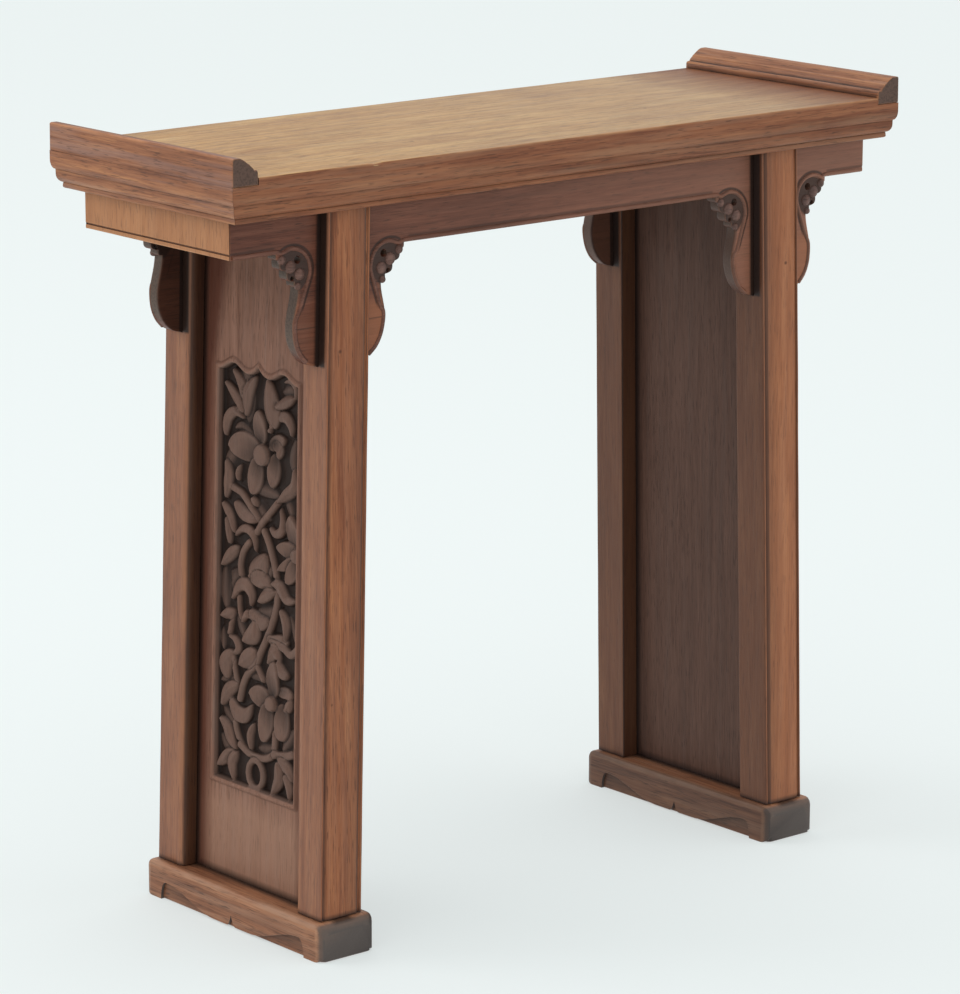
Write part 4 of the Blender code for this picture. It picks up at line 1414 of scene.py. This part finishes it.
# %% Tools for one motif
CREST_SHIFT = -0.8
SET_IN = 0.6
SET_IN_SHARE = 0.8
SLOPE = 0.45
UNDERCUT = 0.4
BEND_STEPS = 12
STRAIGHT_STEPS = 26
MOTIFS = {
    "stem": {"base": None, "dish": 0.0, "ridge": 0.0, "crown": 0.6, "level": -0.5, "fall": 0.0, "tilt": 0.0},
    "low": {"base": 0.1, "dish": 0.0, "ridge": 0.5, "crown": 0.2, "level": -1.65, "fall": 0.3, "tilt": 0.3},
    "curl": {"base": 0.06, "dish": 0.0, "ridge": 0.5, "crown": 0.3, "level": -0.7, "fall": 0.0, "tilt": 0.25},
    "leaf": {"base": 0.08, "dish": 0.0, "ridge": 0.9, "crown": 0.1, "level": -0.8, "fall": 0.3, "tilt": 0.4},
    "petal": {"base": 0.2, "dish": 0.6, "ridge": 0.3, "crown": 0.1, "level": 0.0, "fall": 1.25, "tilt": 0.25},
    "disc": {"base": None, "dish": -0.35, "ridge": 0.0, "crown": 0.3, "level": 0.0, "fall": 0.0, "tilt": 0.0},
}
FULLNESS = 1.05


def half_widths(width, base, count):
    """Half width along a motif: steady for a stem, or from a base of some breadth to a pointed tip."""
    if base is None:
        return np.full(count, width / 2)
    t = np.linspace(base, 1, count)
    return FULLNESS * width / 2 * np.maximum(np.sin(np.pi * t) ** 0.85, 0.1)


def carve(kind, width, *points):
    """Lay one motif on the relief along the points, which are (y, z) in millimetres."""
    form = MOTIFS[kind]
    axis = np.array(smooth_through(points, BEND_STEPS) if len(points) > 2 else
                    np.linspace(points[0], points[-1], STRAIGHT_STEPS))
    axis[:, 0] = (axis[:, 0] + CREST_SHIFT) / (1 + splay(axis[:, 1], SPLAY_ACROSS) / PANEL_EDGE)
    half = half_widths(width, form["base"], len(axis))
    reach = FULLNESS * width / 2 + SET_IN
    rows = slice(*np.searchsorted(upright, (axis[:, 1].min() - reach, axis[:, 1].max() + reach)))
    columns = slice(*np.searchsorted(across, (axis[:, 0].min() - reach, axis[:, 0].max() + reach)))
    away = np.hypot(Y[rows, columns, None] - axis[:, 0], Z[rows, columns, None] - axis[:, 1])
    nearest = np.argmin(away / half, axis=-1)
    distance = np.take_along_axis(away, nearest[..., None], -1)[..., 0]
    within = half[nearest] - distance
    share = np.clip(distance / half[nearest], 0, 1)
    top = form["level"] - form["dish"] * (1 - share ** 2) + form["ridge"] * (1 - share) ** 1.2
    top += form["crown"] * (np.sqrt(1 - 0.96 * share ** 2) - 0.6)
    top -= form["fall"] * (1 - nearest / (len(axis) - 1))
    ahead = np.gradient(axis, axis=0)[nearest]
    offset_y, offset_z = Y[rows, columns] - axis[nearest, 0], Z[rows, columns] - axis[nearest, 1]
    top += form["tilt"] * share * np.sign(ahead[..., 0] * offset_z - ahead[..., 1] * offset_y)
    here = relief[rows, columns]
    groove = np.clip(1 + within / SET_IN, 0, 1) * (within < 0)
    here = here - (here - GROUND) * groove ** 1.5 * SET_IN_SHARE
    cover = np.clip(within / SLOPE + 0.5, 0, 1)
    cover = cover * cover * (3 - 2 * cover)
    relief[rows, columns] = here * (1 - cover) + np.maximum(top, here - UNDERCUT) * cover

# %% [markdown]
# The design is a scrolling vine. A main stem climbs in slow bends, and flowers, leaves and tendrils fill the
# space on both sides of it. The motifs are listed from the lowest layer to the highest: leaves that lie deep,
# stems, curls and leaves, then the petals of the flowers and their centres. The first number is a width.

# %% Lay the vine
LOW_LEAVES = [
    (5.0, (-10.5, 182), (-17, 184.5)), (5.0, (-17.5, 166.5), (-16.5, 160), (-18, 155.5)),
    (5.5, (4, 147.5), (-3, 148), (-9.5, 147)), (7.0, (11, 117.5), (15.5, 113), (17, 106.5)),
    (5.0, (1, 107), (-4, 107.5), (-8, 109)), (4.0, (20, 97), (19.5, 89.5)), (4.6, (0, 60.5), (-8, 62)),
    (5.0, (-19.5, 70), (-16, 65.5), (-13, 61.5)), (3.5, (5, 164.5), (11, 166.8), (15, 165.5)),
    (9.0, (8.5, 170), (9, 179), (10, 189)), (6.0, (13, 159), (16.5, 155.5), (19.5, 152)),
    (6.0, (19, 118), (19, 110), (17.5, 103)), (8.0, (6, 117.5), (0, 119.5), (-6, 122.5)),
    (4.6, (12, 102.5), (9.5, 99), (7, 95.5)), (4.2, (5, 84), (0, 84.8), (-4, 83)),
    (4.2, (13.5, 80.5), (17, 80.2), (21, 79)), (5.0, (19, 70.5), (15, 67.5), (11.5, 66)),
    (4.6, (20, 60.5), (17, 57.5), (13.5, 55.5)), (5.0, (2, 143), (-1, 140), (-5, 138.5)),
    (4.6, (-13, 146.5), (-15.5, 144), (-16.5, 140)), (4.0, (-16, 108), (-18.5, 104), (-19, 99.5)),
]
STEMS = [
    (2.6, (17.5, 146.3), (13.5, 145.5), (10, 144.5), (6, 141.5), (1.5, 137.5)),
    (2.5, (-9, 145), (-5, 141), (-1, 137), (2, 133.2), (4.5, 132.3)),
    (2.6, (-2, 134), (-5, 129.5), (-8.5, 121), (-9.3, 113), (-8.3, 108), (-6.5, 103.5), (-4, 98.5),
     (-0.8, 93), (1.5, 88.5), (5.5, 85), (8.3, 80.5), (10, 75)),
    (2.4, (6, 129), (9, 125.5), (10.5, 121), (10, 117.3)), (1.8, (11, 109.5), (10.5, 105), (9.5, 102.5)),
    (2.2, (14.5, 103), (15.5, 98), (16, 96)), (2.0, (13.8, 89), (13, 85), (11.5, 80.3)),
    (2.2, (12.3, 68), (11.8, 64.5), (9.5, 60.5), (7, 58.5)),
    (2.6, (9.5, 59.3), (4.5, 57.3), (0, 57), (-5, 57.8), (-8.5, 60.5), (-9.3, 67.5)),
    (3.0, (-9, 60), (-14, 60.5), (-18.5, 62)), (2.0, (-6.5, 174), (-5.2, 171), (-4.2, 168)),
    (2.0, (0.5, 87.5), (-2.5, 84)), (3.0, (-6, 98.5), (-12, 99.8), (-14, 99)),
    (3.0, (-7, 97.5), (-13, 97), (-17, 95.5), (-20.3, 97.8)),
]
CURLS = [
    (4.0, (10, 170), (14.5, 171.3), (18, 169), (19.2, 165), (18.8, 162.5)),
    (3.8, (-5.5, 170.5), (-9, 173.2), (-13, 173.6), (-15.6, 171), (-16, 167.8)),
    (2.6, (-17.5, 180.5), (-17.8, 184), (-15, 186), (-11.5, 185)),
    (3.4, (-5.5, 136), (-8, 134.3), (-11, 136), (-11.5, 140), (-10.5, 143.5)),
    (3.2, (13.5, 130), (10, 132.8), (6, 133), (3, 130.5), (2.3, 126)),
    (4.6, (14.5, 108.5), (11.5, 113), (7.5, 114.3), (4.3, 111.5), (4.5, 107.5)),
    (3.0, (9, 101.5), (7, 104.5), (4, 104), (2.5, 101)),
    (2.8, (16, 95.3), (12.8, 94.8), (11, 92.2), (12.5, 90.3), (14.5, 89.8)),
    (5.5, (14.8, 74), (11.5, 70), (7, 70), (3.5, 74.2)), (2.2, (11, 154), (12.5, 151), (11.8, 148.5)),
    (3.5, (-17.5, 80.5), (-16, 77.5), (-13.7, 75.8)),
]
LEAVES = [
    (4.0, (9, 172), (8.5, 183)), (5.0, (9.5, 171.5), (10.5, 179), (15.5, 185.5)),
    (5.0, (8.5, 171.5), (7.5, 179), (3.2, 184.8)), (4.2, (10.5, 172), (15, 176.5), (19.8, 180.8)),
    (8.5, (-6, 170.5), (-4.5, 176), (-2.8, 184.6)), (4.0, (-7.5, 176.5), (-12.5, 178.8), (-17.3, 181)),
    (4.5, (18.7, 154), (17.5, 150), (18, 146), (18.5, 141.5)),
    (4.5, (-17.6, 157), (-17.3, 151.5), (-13, 148), (-9, 145)),
    (2.8, (4.8, 144.2), (1.5, 142)), (5.0, (13.5, 141), (9, 138), (2, 136.5)),
    (3.6, (20.4, 139.8), (16.5, 136), (13.5, 130.5)), (3.0, (18.5, 135), (17, 130), (16, 126.5)),
    (4.4, (12, 125.8), (16, 123), (20.5, 118.5)), (8.0, (5, 118.5), (1, 121), (-3.3, 126)),
    (6.0, (4, 117), (-1, 117.5), (-6.5, 115.5)), (4.4, (0.5, 110.3), (-3.5, 113), (-8.5, 115)),
    (5.5, (4.5, 106), (0, 103), (-5, 104.5)), (4.0, (13.5, 104), (17, 102.5), (20.7, 101.3)),
    (6.5, (2.3, 101.5), (3.5, 98), (8.5, 95)),
    (4.2, (-6.5, 117.5), (-10.5, 117.3), (-14.5, 113.5), (-20, 114.2)),
    (3.8, (-11.3, 109.3), (-14, 105.5), (-14.3, 99.5)), (6.5, (2.5, 92), (6, 89.5), (10, 86.5)),
    (6.5, (14.5, 89.5), (18, 85.5), (16.5, 81)), (5.0, (11.5, 79.3), (16.5, 76.3), (19.5, 70.8)),
    (4.5, (20.3, 66.3), (16.8, 63.8), (14.5, 60), (11.5, 57.3)),
    (4.6, (12.5, 55.8), (17, 53.5), (21.5, 49.5)),
    (4.2, (11.3, 56), (14, 52), (12.3, 46.5)), (3.2, (2.3, 67.8), (4.2, 63.5), (3.2, 58.8)),
    (4.6, (-11, 58.5), (-15.5, 57), (-19.3, 53)), (4.6, (-10.5, 57.3), (-11.5, 52), (-8, 46)),
    (3.6, (-14.5, 54), (-17, 51), (-17.8, 46.5)), (5.0, (-5, 90.5), (-8, 95), (-11.5, 92)),
    (4.4, (-10.3, 91.5), (-12.5, 88.5), (-15.8, 88)),
]
PETALS = [
    (7.0, (1, 164.5), (1.8, 169), (2, 173.2)), (9.5, (4, 160), (11, 160.5), (16.5, 159.5)),
    (5.0, (-4.5, 163), (-8.5, 165), (-12.4, 166.2)), (4.0, (-6.5, 163.5), (-9.5, 162.5), (-9, 159.5)),
    (6.5, (-6.5, 158.5), (-6.2, 149.5)), (7.5, (3, 155.5), (3.5, 150.5), (4.2, 145.8)),
    (6.5, (-18.5, 131.5), (-16.3, 137.5), (-16, 141.3)), (5.6, (-18, 129.5), (-13.5, 130), (-9, 130)),
    (4.0, (-18.5, 127), (-14, 125), (-9.5, 122.5)), (5.5, (-18.5, 126), (-16.5, 122.5), (-14.5, 119)),
    (7.5, (-4, 77.5), (0, 78), (4, 78)), (7.5, (-4.2, 74), (-3.8, 69), (-3, 63.3)),
    (7.5, (-12.5, 75.5), (-12.5, 70), (-12.5, 66.2)), (4.0, (-10.5, 81.5), (-15, 82), (-18.3, 81.3)),
    (6.5, (-7.5, 81), (-7, 86), (-8.5, 91)),
]
DISCS = [(7.2, (-0.3, 159.2), (-0.1, 159.2)), (5.2, (-7.1, 76.8), (-6.9, 76.8)),
         (5.0, (-19.6, 129), (-19.4, 129))]
RING_CENTRE = (1, 51)
RING_RADII = (4.0, 4.7)
ring_path = [(RING_CENTRE[0] + RING_RADII[0] * math.cos(a), RING_CENTRE[1] + RING_RADII[1] * math.sin(a))
             for a in np.linspace(0, 2 * math.pi, 13)]

VINE = {"low": LOW_LEAVES, "stem": STEMS + [(2.3, *ring_path)], "curl": CURLS, "leaf": LEAVES,
        "petal": PETALS, "disc": DISCS}
for kind, motifs in VINE.items():
    for motif in motifs:
        carve(kind, *motif)
print("motifs:", {kind: len(motifs) for kind, motifs in VINE.items()})

# %% [markdown]
# ## Wood of the panels
# The carving has gone dull all over, and its ground is painted black, partly as dirt and partly as the shade
# in the deep ground. The plain wood beside the posts is painted a deep red, and it is darkened along the posts
# and the foot by dirt and painted shade. The depth of each point is known while the relief is made, so the mesh
# can carry it as a mark named sunk. The wood reads that mark, which is surer than guessing hollows from the
# shape.

# %% Wood of the panels
def from_middle(at):
    """Distance from the middle plane, measured back to where the leaning panel starts under the top."""
    return at.y - splay(at.z, SPLAY_ACROSS)


def red_strip(at):
    """Deep red strip on the panel beside the posts, wider under the top."""
    place = from_middle(at) + at.z.ramp(185, 228, 0, 8)
    return at.outward_x * place.ramp(POST_BACK - 8.5, POST_BACK - 3, 0, 0.75)


def rubbed_base(at):
    return at.outward_x * at.z.ramp(46, 36, 0, 0.34)


def carved_veil(at):
    """Polish that has dulled over the whole carving and hides its grain."""
    return at.z.mark("sunk").ramp(0.02, 0.12, 0, 0.66)


def panel_dirt_and_shade(at):
    """Dirt and painted shade beside the posts, along the foot and in the ground of the carving."""
    side = from_middle(at).ramp(POST_BACK - 2.5, POST_BACK - 0.5, 0, 0.85)
    base = at.z.ramp(FOOT_HEIGHT + 3, FOOT_HEIGHT + 0.6, 0, 0.8)
    return highest(side, base, at.z.mark("sunk").ramp(0.33, 0.75, 0, 0.93))


panel_wood = wood("panel_wood", "height", [(118, 82, 66), (137, 98, 81), (153, 112, 94)],
                  worn=(142, 114, 101), end_tone=(84, 62, 54), bloom=(133, 105, 93), inner=0.6,
                  dust_and_shade=(64, 44, 37), shine=0.12,
                  washes=[((178, 136, 112), rubbed_base), ((88, 46, 34), red_strip),
                          ((98, 79, 71), carved_veil), (DIRT_AND_SHADE, panel_dirt_and_shade)])

# %% [markdown]
# ## The panels
# The finished relief goes inside the cartouche, with a rounded border standing round it. The whole is
# softened once, as years of rubbing would. The grid then leans with the posts, and its rim is carried back
# and closed, which makes the board solid. A curvature measure marks crests and hollows, so the wood shows
# rubbed tops and darker hollows, and the depth of each point tells how much dirt and painted shade it gets.

# %% End panels
CURVING_GAIN = 2.5
LEAST_SUNK = 0.14
CARVED_SHARP = math.radians(85)


def softened(values):
    """Each value averaged with its neighbours along both directions of the grid."""
    for _ in range(2):
        spread = np.pad(values, ((1, 1), (0, 0)), mode="edge")
        values = ((spread[:-2] + spread[2:]) / 2 + values).T / 2
    return values


carved = np.clip(inside / WALL, 0, 1)
border_place = (inside + BORDER_WIDTH / 2) / (BORDER_WIDTH / 2)
border = BORDER_RISE * np.sqrt(np.clip(1 - border_place ** 2, 0, 1))
height = softened(np.where(inside > 0, np.maximum(relief, GROUND) * carved, border))
curving = np.zeros(height.shape)
curving[1:-1, 1:-1] = (4 * height[1:-1, 1:-1] - height[2:, 1:-1] - height[:-2, 1:-1]
                       - height[1:-1, 2:] - height[1:-1, :-2])
EDGE_MARKS = np.clip(curving * CURVING_GAIN, -1, 1)
DEPTH_MARKS = np.where(inside > 0, np.clip(height / GROUND, LEAST_SUNK, 1), 0)


def panel_board(name, end, material):
    """Grid of heights on the outer face, carried back to a flat inner face."""
    rows, columns = Y.shape
    face = POST_OUTER - PANEL_RECESS
    shift = splay(Z, SPLAY_LENGTHWISE)
    widen = 1 + splay(Z, SPLAY_ACROSS) / PANEL_EDGE
    front = np.stack([end * (face + height + shift), Y * widen, Z], axis=-1).reshape(-1, 3)
    back = np.stack([end * (face - PANEL_THICKNESS + shift), Y * widen, Z], axis=-1)
    index = np.arange(rows * columns).reshape(rows, columns)
    quads = np.stack([index[:-1, :-1], index[:-1, 1:], index[1:, 1:], index[1:, :-1]], axis=-1).reshape(-1, 4)
    rim = np.concatenate([index[0, :-1], index[:-1, -1], index[-1, :0:-1], index[:0:-1, 0]])
    back_rim = back.reshape(-1, 3)[rim]
    first = rows * columns
    faces = [tuple(q) for q in quads]
    count = len(rim)
    for i in range(count):
        j = (i + 1) % count
        faces.append((rim[j], rim[i], first + i, first + j))
    faces.append(tuple(first + i for i in range(count - 1, -1, -1)))
    if end < 0:
        faces = [tuple(reversed(f)) for f in faces]
    mesh = bpy.data.meshes.new(name)
    mesh.from_pydata(np.concatenate([front, back_rim]) * MM, [], faces)
    for label, marks in (("edge", EDGE_MARKS), ("sunk", DEPTH_MARKS)):
        layer = mesh.attributes.new(label, "FLOAT", "POINT")
        layer.data.foreach_set("value", np.concatenate([marks.ravel(), np.zeros(count)]))
    mesh.materials.append(material)
    mesh.shade_smooth()
    mesh.set_sharp_from_angle(angle=CARVED_SHARP)
    obj = bpy.data.objects.new(name, mesh)
    bpy.context.collection.objects.link(obj)
    return obj


for end_name, end in ENDS.items():
    panel = panel_board(f"{end_name}_carved_panel", end, panel_wood)
    stands_for(panel, f"{end_name}_end_panel")
